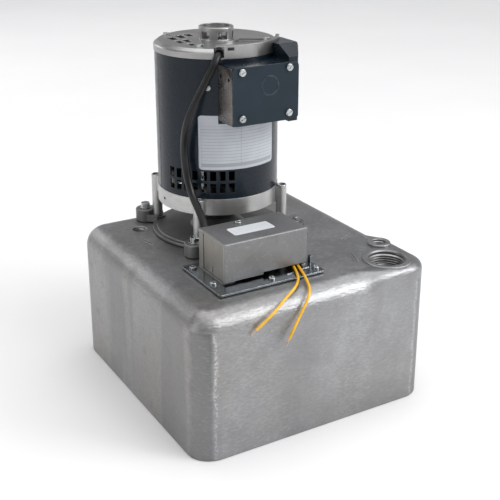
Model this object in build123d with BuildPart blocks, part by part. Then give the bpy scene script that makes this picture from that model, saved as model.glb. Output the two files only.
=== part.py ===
# Condensate pump: cast tank, vertical motor on a four-post bracket, float switch box.
# Millimetres, +Z up. Origin: centre of the tank footprint, on the floor.
import os
from math import sin, cos, tan, radians, sqrt, acos, degrees
from build123d import *

os.makedirs("parts", exist_ok=True)

# ---------------------------------------------------------------- dimensions
TANK_L, TANK_W, TANK_H = 297.0, 313.0, 165.0      # X, Y, Z
CORNER_R, TOP_R, WALL = 28.0, 23.0, 6.0
LEDGE_Z0, LEDGE_Z1, LEDGE_IN = 8.0, 14.0, 14.0
PLATE_Z0, PLATE_Z1 = 3.5, 6.5                     # bottom closing plate

MX, MY = -5.7, 60.0                               # motor and shaft axis
SHELL_R, SHELL_RI = 71.0, 69.0
SHELL_Z0, SHELL_Z1 = 225.2, 385.0
RING_R, RING_Z0 = 71.6, 206.0
BELL_R, BELL_Z = 71.9, 395.5
HUB_R, HUB_TOP = 20.0, 410.0
POST_R, POST_PC, POST_TOP = 6.2, 78.0, 226.5
EAR_R, EAR_PC, EAR_TOP = 12.0, 94.0, 181.0
PAD_R = 79.5
SHAFT_R, BUSH_R = 7.0, 7.05
THROUGH_PC = 60.0
DIAG = (45.0, 135.0, 225.0, 315.0)

INLET = (109.3, -124.0)
VENT = (128.0, -85.0)
DISCH = (-92.4, 100.0)
INLET_R, VENT_R, DISCH_R = 21.0, 8.0, 8.0

# switch box
SP_X0, SP_X1, SP_Y0, SP_Y1 = -102.0, 27.0, -121.0, -33.0
SB_X0, SB_X1, SB_Y0, SB_Y1, SB_TOP = -86.3, 17.0, -101.4, -44.7, 213.8
FX, FY = -34.6, -75.0                             # float rod axis
ENTRY_X, ENTRY_Z = -74.0, 200.0                   # motor cable into the switch box
SP_SCREWS = [(-94.2, -91.6), (-94.2, -45.0), (-34.7, -111.7), (22.0, -111.0), (22.0, -45.0)]

# conduit box
CB_X0, CB_X1, CB_Y0, CB_Z0, CB_Z1 = -38.0, 44.7, -34.4, 316.5, 380.5
COVER_T = 1.6
CB_SCREWS = [(-27.0, 375.2), (32.1, 375.2), (-27.0, 324.8), (32.1, 324.8)]


def polar(r, a):
    return (MX + r * cos(radians(a)), MY + r * sin(radians(a)))


def save(shape, name):
    shape.label = name
    export_step(shape, "parts/" + name + ".step")


# ---------------------------------------------------------------- tank
with BuildPart() as tank_cavity:
    with BuildSketch(Plane.XY.offset(LEDGE_Z1)):
        RectangleRounded(TANK_L - 2 * WALL, TANK_W - 2 * WALL, CORNER_R - WALL)
    extrude(amount=TANK_H - WALL - LEDGE_Z1)
    fillet(tank_cavity.edges().group_by(Axis.Z)[-1], TOP_R - WALL)
    with BuildSketch(Plane.XY.offset(LEDGE_Z0)):
        RectangleRounded(TANK_L - 2 * WALL - 2 * LEDGE_IN, TANK_W - 2 * WALL - 2 * LEDGE_IN, 12)
    extrude(amount=LEDGE_Z1 - LEDGE_Z0)
    with BuildSketch(Plane.XY):
        RectangleRounded(TANK_L - 2 * WALL, TANK_W - 2 * WALL, CORNER_R - WALL)
    extrude(amount=LEDGE_Z0)

LEDGE_SCREWS = [(sx * 135.0, y) for sx in (-1, 1) for y in (-100.0, 0.0, 100.0)]
LEDGE_SCREWS += [(x, sy * 143.0) for sy in (-1, 1) for x in (-90.0, 0.0, 90.0)]

with BuildPart() as tank_shell:
    with BuildSketch(Plane.XY):
        RectangleRounded(TANK_L, TANK_W, CORNER_R)
    extrude(amount=TANK_H)
    fillet(tank_shell.edges().group_by(Axis.Z)[-1], TOP_R)
    fillet(tank_shell.edges().group_by(Axis.Z)[0], 1.5)
    # machined seats under the pump base
    with BuildSketch(Plane.XY.offset(140)):
        with Locations((MX, MY)):
            Circle(84)
        with Locations(*[polar(EAR_PC, a) for a in DIAG]):
            Circle(EAR_R + 1)
    extrude(amount=TANK_H - 140)
    # inlet and vent bosses outside
    with BuildSketch(Plane.XY.offset(125)):
        with Locations(INLET):
            Circle(28.5)
    extrude(amount=41.5)
    fillet(tank_shell.edges().group_by(Axis.Z)[-1], 1.2)
    with BuildSketch(Plane.XY.offset(125)):
        with Locations(VENT):
            Circle(13.5)
    extrude(amount=43.5)
    fillet(tank_shell.edges().group_by(Axis.Z)[-1], 1.5)
    add(tank_cavity.part, mode=Mode.SUBTRACT)
    # bosses inside, under the ports and screws
    with BuildSketch(Plane.XY.offset(146)):
        with Locations(INLET):
            Circle(26)
    extrude(amount=16)
    with BuildSketch(Plane.XY.offset(148)):
        with Locations(VENT):
            Circle(12.5)
    extrude(amount=14)
    with BuildSketch(Plane.XY.offset(139)):
        with Locations(DISCH):
            Circle(15)
    extrude(amount=22)
    with BuildSketch(Plane.XY.offset(143)):
        with Locations(*[polar(EAR_PC, a) for a in DIAG]):
            Circle(9)
    extrude(amount=17)
    with BuildSketch(Plane.XY.offset(150)):
        with Locations(*SP_SCREWS):
            Circle(6)
    extrude(amount=10)
    # openings
    with BuildSketch(Plane.XY.offset(130)):
        with Locations((MX, MY)):
            Circle(52)
    extrude(amount=50, mode=Mode.SUBTRACT)
    with BuildSketch(Plane.XY.offset(140)):
        with Locations((FX, FY)):
            RectangleRounded(72, 44, 6)
    extrude(amount=40, mode=Mode.SUBTRACT)
    with BuildSketch(Plane.XY.offset(130)):
        with Locations(INLET):
            Circle(INLET_R)
        with Locations(VENT):
            Circle(VENT_R)
        with Locations(DISCH):
            Circle(DISCH_R)
    extrude(amount=60, mode=Mode.SUBTRACT)
    with Locations((INLET[0], INLET[1], 166.5 - 0.75)):
        Cone(INLET_R, INLET_R + 1.5, 1.5, mode=Mode.SUBTRACT)
    with Locations((VENT[0], VENT[1], 168.5 - 0.4)):
        Cone(VENT_R, VENT_R + 0.8, 0.8, mode=Mode.SUBTRACT)
    with Locations((DISCH[0], DISCH[1], 165 - 0.4)):
        Cone(DISCH_R, DISCH_R + 0.8, 0.8, mode=Mode.SUBTRACT)
    # socket for the discharge pipe, from below
    with BuildSketch(Plane.XY.offset(130)):
        with Locations(DISCH):
            Circle(10.5)
    extrude(amount=19, mode=Mode.SUBTRACT)
    # screw holes
    with BuildSketch(Plane.XY.offset(147)):
        with Locations(*[polar(EAR_PC, a) for a in DIAG]):
            Circle(3.1)
    extrude(amount=30, mode=Mode.SUBTRACT)
    with BuildSketch(Plane.XY.offset(153)):
        with Locations(*SP_SCREWS):
            Circle(2.1)
    extrude(amount=20, mode=Mode.SUBTRACT)
    with BuildSketch(Plane.XY.offset(LEDGE_Z0)):
        with Locations(*LEDGE_SCREWS):
            Circle(2.6)
    extrude(amount=LEDGE_Z1 - LEDGE_Z0, mode=Mode.SUBTRACT)
save(tank_shell.part, "tank_shell")

with BuildPart() as bottom_gasket:
    with BuildSketch(Plane.XY.offset(PLATE_Z1)):
        RectangleRounded(TANK_L - 2 * WALL - 1, TANK_W - 2 * WALL - 1, CORNER_R - WALL)
        RectangleRounded(TANK_L - 2 * WALL - 26, TANK_W - 2 * WALL - 26, 12, mode=Mode.SUBTRACT)
        with Locations(*LEDGE_SCREWS):
            Circle(2.8, mode=Mode.SUBTRACT)
    extrude(amount=LEDGE_Z0 - PLATE_Z1)
save(bottom_gasket.part, "bottom_gasket")

with BuildPart() as bottom_plate:
    with BuildSketch(Plane.XY.offset(PLATE_Z0)):
        RectangleRounded(TANK_L - 2 * WALL - 1, TANK_W - 2 * WALL - 1, CORNER_R - WALL)
        with Locations(*LEDGE_SCREWS):
            Circle(2.8, mode=Mode.SUBTRACT)
    extrude(amount=PLATE_Z1 - PLATE_Z0)
save(bottom_plate.part, "bottom_plate")

with BuildPart() as bottom_screws:
    with BuildSketch(Plane.XY.offset(0.8)):
        with Locations(*LEDGE_SCREWS):
            Circle(4.5)
            RectangleRounded(6, 1.2, 0.3, mode=Mode.SUBTRACT)
    extrude(amount=1.0)
    with BuildSketch(Plane.XY.offset(1.8)):
        with Locations(*LEDGE_SCREWS):
            Circle(4.5)
    extrude(amount=PLATE_Z0 - 1.8)
    with BuildSketch(Plane.XY.offset(PLATE_Z0)):
        with Locations(*LEDGE_SCREWS):
            Circle(2.5)
    extrude(amount=9)
save(bottom_screws.part, "bottom_screws")

# ---------------------------------------------------------------- pump base on the tank
with BuildPart() as pump_base_gasket:
    with BuildSketch(Plane.XY.offset(TANK_H)):
        with Locations((MX, MY)):
            Circle(PAD_R)
        with Locations(*[polar(EAR_PC, a) for a in DIAG]):
            Circle(EAR_R)
            Circle(3.3, mode=Mode.SUBTRACT)
        with Locations((MX, MY)):
            Circle(52, mode=Mode.SUBTRACT)
    extrude(amount=1.5)
save(pump_base_gasket.part, "pump_base_gasket")

BASE_Z = TANK_H + 1.5
with BuildPart() as pump_base:
    with BuildSketch(Plane.XY.offset(BASE_Z)):
        with Locations((MX, MY)):
            Circle(PAD_R)
    extrude(amount=3.0)
    fillet(pump_base.edges().group_by(Axis.Z)[-1], 1.2)
    with BuildSketch(Plane.XY.offset(BASE_Z)):
        with Locations((MX, MY)):
            Circle(PAD_R - 5)
    extrude(amount=4.5)
    fillet(pump_base.edges().group_by(Axis.Z)[-1], 1.2)
    # ears with flat tops
    with BuildSketch(Plane.XY.offset(BASE_Z)):
        with Locations(*[polar(EAR_PC, a) for a in DIAG]):
            Circle(EAR_R)
    extrude(amount=EAR_TOP - BASE_Z)
    fillet(pump_base.edges().group_by(Axis.Z)[-1], 1.5)
    for a in DIAG:
        with BuildSketch(Plane.XY.offset(BASE_Z)):
            with Locations(Location((*polar(84, a), 0), (0, 0, a))):
                RectangleRounded(20, 21, 2)
        extrude(amount=8.5)
    # feet for the posts
    with BuildSketch(Plane.XY.offset(BASE_Z)):
        with Locations(*[polar(POST_PC, a) for a in DIAG]):
            Circle(9.5)
    extrude(amount=6.5)
    # centre hub around the seal bush
    with Locations((MX, MY, BASE_Z + 4.5 + 5.5)):
        Cone(34, 20, 11)
    # clear the posts out of the ears
    with BuildSketch(Plane.XY.offset(BASE_Z + 6.5)):
        with Locations(*[polar(POST_PC, a) for a in DIAG]):
            Circle(POST_R + 0.7)
    extrude(amount=20, mode=Mode.SUBTRACT)
    with BuildSketch(Plane.XY.offset(BASE_Z)):
        with Locations((MX, MY)):
            Circle(12)
        with Locations(*[polar(EAR_PC, a) for a in DIAG]):
            Circle(3.3)
    extrude(amount=40, mode=Mode.SUBTRACT)
    with BuildSketch(Plane.XY.offset(BASE_Z + 1.0)):
        with Locations(*[polar(POST_PC, a) for a in DIAG]):
            Circle(2.6)
    extrude(amount=20, mode=Mode.SUBTRACT)
save(pump_base.part, "pump_base")

with BuildPart() as pump_base_washers:
    with BuildSketch(Plane.XY.offset(EAR_TOP)):
        with Locations(*[polar(EAR_PC, a) for a in DIAG]):
            Circle(7.2)
            Circle(3.3, mode=Mode.SUBTRACT)
    extrude(amount=1.4)
save(pump_base_washers.part, "pump_base_washers")

with BuildPart() as pump_base_screws:
    with BuildSketch(Plane.XY.offset(EAR_TOP + 1.4)):
        with Locations(*[Location((*polar(EAR_PC, a), 0), (0, 0, a + 11)) for a in DIAG]):
            RegularPolygon(5.6, 6)
    extrude(amount=4.6)
    with BuildSketch(Plane.XY.offset(149)):
        with Locations(*[polar(EAR_PC, a) for a in DIAG]):
            Circle(3.0)
    extrude(amount=EAR_TOP + 1.4 - 149)
    with BuildSketch(Plane.XY.offset(EAR_TOP + 1.4)):
        with Locations(*[polar(EAR_PC, a) for a in DIAG]):
            Circle(5.0)
    extrude(amount=5.2)
save(pump_base_screws.part, "pump_base_screws")

with BuildPart() as shaft_seal_bush:
    with BuildSketch(Plane.XY.offset(BASE_Z)):
        with Locations((MX, MY)):
            Circle(12)
            Circle(BUSH_R, mode=Mode.SUBTRACT)
    extrude(amount=14)
    with BuildSketch(Plane.XY.offset(182)):
        with Locations((MX, MY)):
            Circle(15)
            Circle(BUSH_R, mode=Mode.SUBTRACT)
    extrude(amount=2)
    with BuildSketch(Plane.XY.offset(BASE_Z)):
        with Locations((MX, MY)):
            Circle(12)
            Circle(BUSH_R, mode=Mode.SUBTRACT)
    extrude(amount=182 - BASE_Z)
save(shaft_seal_bush.part, "shaft_seal_bush")

# ---------------------------------------------------------------- submerged pump end
with BuildPart() as pump_column:
    with BuildSketch(Plane.XY.offset(50)):
        with Locations((MX, MY)):
            Circle(24)
    extrude(amount=5)
    with BuildSketch(Plane.XY.offset(50)):
        with Locations((MX, MY)):
            Circle(16)
    extrude(amount=BASE_Z - 50)
    with BuildSketch(Plane.XY.offset(BASE_Z - 5)):
        with Locations((MX, MY)):
            Circle(34)
    extrude(amount=5)
    with BuildSketch(Plane.XY.offset(50)):
        with Locations((MX, MY)):
            Circle(12.6)
    extrude(amount=BASE_Z - 50, mode=Mode.SUBTRACT)
    # drain windows in the column
    for a in (0.0, 90.0):
        with Locations(Location((MX, MY, 100), (0, 0, a))):
            Box(40, 9, 30, mode=Mode.SUBTRACT)
save(pump_column.part, "pump_column")

with BuildPart() as lower_sleeve_bush:
    with BuildSketch(Plane.XY.offset(50)):
        with Locations((MX, MY)):
            Circle(12.6)
            Circle(BUSH_R, mode=Mode.SUBTRACT)
    extrude(amount=18)
save(lower_sleeve_bush.part, "lower_sleeve_bush")

NOZ = 155.24
with BuildPart() as volute_casing:
    with BuildSketch(Plane.XY.offset(24)):
        with Locations((MX, MY)):
            Circle(44)
    extrude(amount=26)
    fillet(volute_casing.edges().group_by(Axis.Z)[-1], 4)
    with BuildSketch(Plane(origin=(MX, MY, 36), z_dir=(cos(radians(NOZ)), sin(radians(NOZ)), 0)).offset(30)):
        Circle(12)
    extrude(amount=20)
    with BuildSketch(Plane.XY.offset(24)):
        with Locations((MX, MY)):
            Circle(35)
    extrude(amount=22, mode=Mode.SUBTRACT)
    with BuildSketch(Plane.XY.offset(40)):
        with Locations((MX, MY)):
            Circle(9)
    extrude(amount=20, mode=Mode.SUBTRACT)
    with BuildSketch(Plane(origin=(MX, MY, 36), z_dir=(cos(radians(NOZ)), sin(radians(NOZ)), 0)).offset(30)):
        Circle(8.2)
    extrude(amount=30, mode=Mode.SUBTRACT)
    with BuildSketch(Plane(origin=(MX, MY, 36), z_dir=(cos(radians(NOZ)), sin(radians(NOZ)), 0)).offset(44)):
        Circle(10.4)
    extrude(amount=30, mode=Mode.SUBTRACT)
    with BuildSketch(Plane.XY.offset(24)):
        with Locations(*[polar(39.5, a) for a in DIAG]):
            Circle(1.9)
    extrude(amount=12, mode=Mode.SUBTRACT)
save(volute_casing.part, "volute_casing")

with BuildPart() as suction_cover:
    with BuildSketch(Plane.XY.offset(20)):
        with Locations((MX, MY)):
            Circle(44)
            Circle(13, mode=Mode.SUBTRACT)
        with Locations(*[polar(39.5, a) for a in DIAG]):
            Circle(2.1, mode=Mode.SUBTRACT)
    extrude(amount=4)
save(suction_cover.part, "suction_cover")

with BuildPart() as casing_screws:
    with BuildSketch(Plane.XY.offset(17.5)):
        with Locations(*[polar(39.5, a) for a in DIAG]):
            Circle(3.5)
    extrude(amount=2.5)
    with BuildSketch(Plane.XY.offset(20)):
        with Locations(*[polar(39.5, a) for a in DIAG]):
            Circle(1.8)
    extrude(amount=13)
save(casing_screws.part, "casing_screws")

with BuildPart() as suction_strainer:
    with BuildSketch(Plane.XY.offset(8)):
        with Locations((MX, MY)):
            Circle(30)
    extrude(amount=12)
    with BuildSketch(Plane.XY.offset(9.6)):
        with Locations((MX, MY)):
            Circle(28.2)
    extrude(amount=12, mode=Mode.SUBTRACT)
    for i in range(8):
        with Locations(Location((MX, MY, 14.6), (0, 0, i * 22.5 + 11.25))):
            Box(80, 5, 6, mode=Mode.SUBTRACT)
save(suction_strainer.part, "suction_strainer")

PIPE_R, PIPE_RI = 10.4, 8.2
p_start = (*polar(44, NOZ), 36)
p_mid = (DISCH[0], DISCH[1], 36)
p_end = (DISCH[0], DISCH[1], 148.8)
with BuildPart() as discharge_pipe:
    with BuildLine() as pipe_path:
        FilletPolyline(p_start, p_mid, p_end, radius=24)
    with BuildSketch(Plane(origin=p_start, z_dir=(cos(radians(NOZ)), sin(radians(NOZ)), 0))):
        Circle(PIPE_R)
        Circle(PIPE_RI, mode=Mode.SUBTRACT)
    sweep()
save(discharge_pipe.part, "discharge_pipe")

# ---------------------------------------------------------------- float and switch gear
SPG_Z = TANK_H + 1.5
SPP_Z = SPG_Z + 2.0
with BuildPart() as switch_plate_gasket:
    with BuildSketch(Plane.XY.offset(TANK_H)):
        with Locations(((SP_X0 + SP_X1) / 2, (SP_Y0 + SP_Y1) / 2)):
            RectangleRounded(SP_X1 - SP_X0 - 1, SP_Y1 - SP_Y0 - 1, 2)
        with Locations((FX, FY)):
            RectangleRounded(72, 44, 6, mode=Mode.SUBTRACT)
        with Locations(*SP_SCREWS):
            Circle(2.4, mode=Mode.SUBTRACT)
    extrude(amount=1.5)
save(switch_plate_gasket.part, "switch_plate_gasket")

with BuildPart() as switch_plate:
    with BuildSketch(Plane.XY.offset(SPG_Z)):
        with Locations(((SP_X0 + SP_X1) / 2, (SP_Y0 + SP_Y1) / 2)):
            RectangleRounded(SP_X1 - SP_X0, SP_Y1 - SP_Y0, 2)
        with Locations((FX, FY)):
            Circle(7, mode=Mode.SUBTRACT)
        with Locations(*SP_SCREWS):
            Circle(2.4, mode=Mode.SUBTRACT)
    extrude(amount=2.0)
    # upright hook beside the cover and two pressed ribs in front of it
    with Locations((22.9, -96.5, SPP_Z + 4.4)):
        Box(1.0, 5.0, 9.2)
    with Locations((24.2, -96.5, SPP_Z + 8.6)):
        Box(3.6, 5.0, 1.0)
    for x, y in ((-10.6, -110.0), (12.0, -105.5)):
        with Locations((x, y, SPP_Z + 0.2)):
            Box(9.0, 1.8, 1.2)
save(switch_plate.part, "switch_plate")

with BuildPart() as switch_plate_screws:
    with BuildSketch(Plane.XY.offset(155)):
        with Locations(*SP_SCREWS):
            Circle(2.0)
    extrude(amount=SPP_Z - 155)
    with BuildSketch(Plane.XY.offset(SPP_Z)):
        with Locations(*SP_SCREWS):
            Circle(3.9)
    extrude(amount=2.4)
    fillet(switch_plate_screws.edges().group_by(Axis.Z)[-1], 0.9)
    with BuildSketch(Plane.XY.offset(SPP_Z + 1.4)):
        with Locations(*SP_SCREWS):
            Rectangle(5.2, 1.1)
            Rectangle(1.1, 5.2)
    extrude(amount=2, mode=Mode.SUBTRACT)
save(switch_plate_screws.part, "switch_plate_screws")

with BuildPart() as rod_guide_bush:
    with BuildSketch(Plane.XY.offset(SPG_Z - 6)):
        with Locations((FX, FY)):
            Circle(6.9)
    extrude(amount=6 + 2.0)
    with BuildSketch(Plane.XY.offset(SPP_Z)):
        with Locations((FX, FY)):
            Circle(9.5)
    extrude(amount=2.0)
    with BuildSketch(Plane.XY.offset(SPG_Z - 10)):
        with Locations((FX, FY)):
            Circle(3.3)
    extrude(amount=30, mode=Mode.SUBTRACT)
save(rod_guide_bush.part, "rod_guide_bush")

BR_T = 1.5
with BuildPart() as switch_bracket:
    # foot on the plate
    with BuildSketch(Plane.XY.offset(SPP_Z)):
        with Locations(((SB_X0 + SB_X1) / 2, (SB_Y1 - 6.5 + SB_Y1) / 2 - 0.25)):
            Rectangle(SB_X1 - SB_X0, 6.5 + 0.5)
        with Locations((-79.0, -73.0)):
            Rectangle(14.6, 50)
        with Locations((14.5, -73.0)):
            Rectangle(5.0, 50)
    extrude(amount=BR_T)
    # back wall
    with BuildSketch(Plane.XY.offset(SPP_Z)):
        with Locations(((SB_X0 + SB_X1) / 2, SB_Y1 - BR_T / 2)):
            Rectangle(SB_X1 - SB_X0, BR_T)
        with Locations((SB_X0 + BR_T / 2, SB_Y1 - 4.7)):
            Rectangle(BR_T, 9.4)
        with Locations((SB_X1 - BR_T / 2, SB_Y1 - 4.7)):
            Rectangle(BR_T, 9.4)
    extrude(amount=SB_TOP - 1.5 - SPP_Z)
    # top tab for the cover screw
    with BuildSketch(Plane.XY.offset(SB_TOP - 3.0)):
        with Locations((-42.2, SB_Y1 - 8)):
            Rectangle(20, 16)
    extrude(amount=1.5)
    with BuildSketch(Plane.XY.offset(SB_TOP - 5.0)):
        with Locations((-42.2, -52.8)):
            Circle(2.1)
    extrude(amount=6, mode=Mode.SUBTRACT)
    # cable entry
    with BuildSketch(Plane(origin=(ENTRY_X, SB_Y1 + 1, ENTRY_Z), z_dir=(0, -1, 0))):
        Circle(6.4)
    extrude(amount=4, mode=Mode.SUBTRACT)
save(switch_bracket.part, "switch_bracket")

with BuildPart() as switch_cover:
    with Locations(((SB_X0 + SB_X1) / 2, (SB_Y0 + SB_Y1) / 2, (171.0 + SB_TOP) / 2)):
        Box(SB_X1 - SB_X0, SB_Y1 - SB_Y0, SB_TOP - 171.0)
    fillet(switch_cover.edges().filter_by(Axis.Z).sort_by(Axis.Y)[:2], 1.6)
    fillet(switch_cover.edges().group_by(Axis.Z)[-1].sort_by(Axis.Y)[:1], 1.6)
    with Locations(((SB_X0 + SB_X1) / 2, (SB_Y0 + SB_Y1) / 2 + 1.0, (170.0 + SB_TOP - 1.5) / 2)):
        Box(SB_X1 - SB_X0 - 2.4, SB_Y1 - SB_Y0 - 0.4, SB_TOP - 1.5 - 170.0, mode=Mode.SUBTRACT)
    # open back and side notches for the bracket
    with Locations(((SB_X0 + SB_X1) / 2, SB_Y1 - 5.2, (170.0 + SB_TOP - 1.5) / 2)):
        Box(200, 10.8, SB_TOP - 1.5 - 170.0, mode=Mode.SUBTRACT)
    # side flanges set back a little from the front and the top, with open corners
    for x, s in ((SB_X0, -1), (SB_X1, 1)):
        with Locations((x + s * 0.5, (-99.2 + SB_Y1) / 2, (170.0 + SB_TOP - 2.2) / 2)):
            Box(2.0, SB_Y1 + 99.2, SB_TOP - 2.2 - 170.0, mode=Mode.SUBTRACT)
        with Locations((x, -99.6, (170.0 + SB_TOP - 2.6) / 2)):
            Box(4.0, 0.9, SB_TOP - 2.6 - 170.0, mode=Mode.SUBTRACT)
    with Locations((SB_X0, -74.5, 175.0)):
        Box(4.0, 2.0, 11.0, mode=Mode.SUBTRACT)
    # raised lower edge on the right of the front
    with Locations((-39.0 + 40, SB_Y0, 171.0)):
        Box(80, 12, 4.8, mode=Mode.SUBTRACT)
    with BuildSketch(Plane.XY.offset(SB_TOP - 5.0)):
        with Locations((-42.2, -52.8)):
            Circle(2.2)
    extrude(amount=8, mode=Mode.SUBTRACT)
save(switch_cover.part, "switch_cover")

with BuildPart() as switch_cover_screw:
    with BuildSketch(Plane.XY.offset(SB_TOP)):
        with Locations((-42.2, -52.8)):
            Circle(3.8)
    extrude(amount=2.6)
    fillet(switch_cover_screw.edges().group_by(Axis.Z)[-1], 1.0)
    with BuildSketch(Plane.XY.offset(SB_TOP - 4.4)):
        with Locations((-42.2, -52.8)):
            Circle(2.0)
    extrude(amount=4.4)
    with BuildSketch(Plane.XY.offset(SB_TOP + 1.5)):
        with Locations((-42.2, -52.8)):
            Rectangle(9, 1.1)
    extrude(amount=2, mode=Mode.SUBTRACT)
save(switch_cover_screw.part, "switch_cover_screw")

with BuildPart() as switch_cover_label:
    with BuildSketch(Plane.XY.offset(SB_TOP)):
        with Locations((-38.0, -73.2)):
            RectangleRounded(50, 20.5, 2.5)
    extrude(amount=0.3)
save(switch_cover_label.part, "switch_cover_label")

with BuildPart() as switch_box_grommet:
    with BuildSketch(Plane(origin=(ENTRY_X, SB_Y1 + 1.8, ENTRY_Z), z_dir=(0, -1, 0))):
        Circle(8.6)
    extrude(amount=1.8)
    with BuildSketch(Plane(origin=(ENTRY_X, SB_Y1, ENTRY_Z), z_dir=(0, -1, 0))):
        Circle(6.4)
    extrude(amount=BR_T)
    with BuildSketch(Plane(origin=(ENTRY_X, SB_Y1 - BR_T, ENTRY_Z), z_dir=(0, -1, 0))):
        Circle(8.6)
    extrude(amount=1.8)
    with BuildSketch(Plane(origin=(ENTRY_X, SB_Y1 + 5, ENTRY_Z), z_dir=(0, -1, 0))):
        Circle(4.25)
    extrude(amount=15, mode=Mode.SUBTRACT)
save(switch_box_grommet.part, "switch_box_grommet")

# two snap switches on the back wall
SW_Y1 = SB_Y1 - BR_T
with BuildPart() as snap_switches:
    for x in (-50.0, -17.0):
        with Locations((x, SW_Y1 - 5.2, 198.0)):
            Box(28, 10.4, 16)
        with Locations((x - 12.5, SW_Y1 - 5.2, 189.2)):
            Box(3, 3, 1.6)
        with Locations((x - 6.0, SW_Y1 - 5.2, 207.4), (x + 6.0, SW_Y1 - 5.2, 207.4)):
            Box(0.8, 5, 3.2)
save(snap_switches.part, "snap_switches")

# lever and its pivot
PVX, PVZ = -75.0, 178.0
with BuildPart() as lever_pivot_stand:
    for y in (-83.6, -66.4):
        with Locations((PVX, y, (SPP_Z + BR_T + 183.0) / 2)):
            Box(12, 1.6, 183.0 - SPP_Z - BR_T)
    with Locations((PVX, FY, SPP_Z + BR_T + 0.6)):
        Box(12, 18.8, 1.2)
    with BuildSketch(Plane(origin=(PVX, -90, PVZ), z_dir=(0, 1, 0))):
        Circle(1.55)
    extrude(amount=30, mode=Mode.SUBTRACT)
save(lever_pivot_stand.part, "lever_pivot_stand")

with BuildPart() as lever_pivot_pin:
    with BuildSketch(Plane(origin=(PVX, -86.0, PVZ), z_dir=(0, 1, 0))):
        Circle(1.5)
    extrude(amount=22)
    with BuildSketch(Plane(origin=(PVX, -86.0, PVZ), z_dir=(0, 1, 0))):
        Circle(2.6)
    extrude(amount=1.6)
    with BuildSketch(Plane(origin=(PVX, -65.6, PVZ), z_dir=(0, 1, 0))):
        Circle(2.6)
    extrude(amount=1.6)
save(lever_pivot_pin.part, "lever_pivot_pin")

ROD_TOP = 176.6
with BuildPart() as switch_lever:
    with BuildSketch(Plane(origin=(PVX, -81.0, PVZ), z_dir=(0, 1, 0))):
        Circle(3.2)
    extrude(amount=12)
    with Locations((PVX + 24.0, FY, PVZ)):
        Box(48, 9, 1.6)
    # side arm that reaches under the pump switch button
    with Locations((PVX + 11.5, -63.0, PVZ)):
        Box(5, 24, 1.6)
    with BuildSketch(Plane(origin=(PVX, -90, PVZ), z_dir=(0, 1, 0))):
        Circle(1.56)
    extrude(amount=30, mode=Mode.SUBTRACT)
save(switch_lever.part, "switch_lever")

FLOAT_Z0, FLOAT_H, FLOAT_R = 46.0, 62.0, 36.0
with BuildPart() as float_ball:
    with BuildSketch(Plane.XY.offset(FLOAT_Z0)):
        with Locations((FX, FY)):
            Circle(FLOAT_R)
    extrude(amount=FLOAT_H)
    fillet(float_ball.edges().filter_by(GeomType.CIRCLE), 10)
    with BuildSketch(Plane.XY.offset(FLOAT_Z0)):
        with Locations((FX, FY)):
            Circle(3.0)
    extrude(amount=FLOAT_H, mode=Mode.SUBTRACT)
save(float_ball.part, "float_ball")

with BuildPart() as float_rod:
    with BuildSketch(Plane.XY.offset(FLOAT_Z0 - 8)):
        with Locations((FX, FY)):
            Circle(3.0)
    extrude(amount=ROD_TOP - (FLOAT_Z0 - 8))
    fillet(float_rod.edges().group_by(Axis.Z)[-1], 0.8)
save(float_rod.part, "float_rod")

with BuildPart() as rod_collars:
    with BuildSketch(Plane.XY.offset(FLOAT_Z0 - 5)):
        with Locations((FX, FY)):
            Circle(6.5)
            Circle(3.0, mode=Mode.SUBTRACT)
    extrude(amount=5)
    with BuildSketch(Plane.XY.offset(FLOAT_Z0 + FLOAT_H)):
        with Locations((FX, FY)):
            Circle(6.5)
            Circle(3.0, mode=Mode.SUBTRACT)
    extrude(amount=5)
    with BuildSketch(Plane.XY.offset(SPP_Z + 2.0)):
        with Locations((FX, FY)):
            Circle(6.0)
            Circle(3.0, mode=Mode.SUBTRACT)
    extrude(amount=4)
save(rod_collars.part, "rod_collars")

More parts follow.
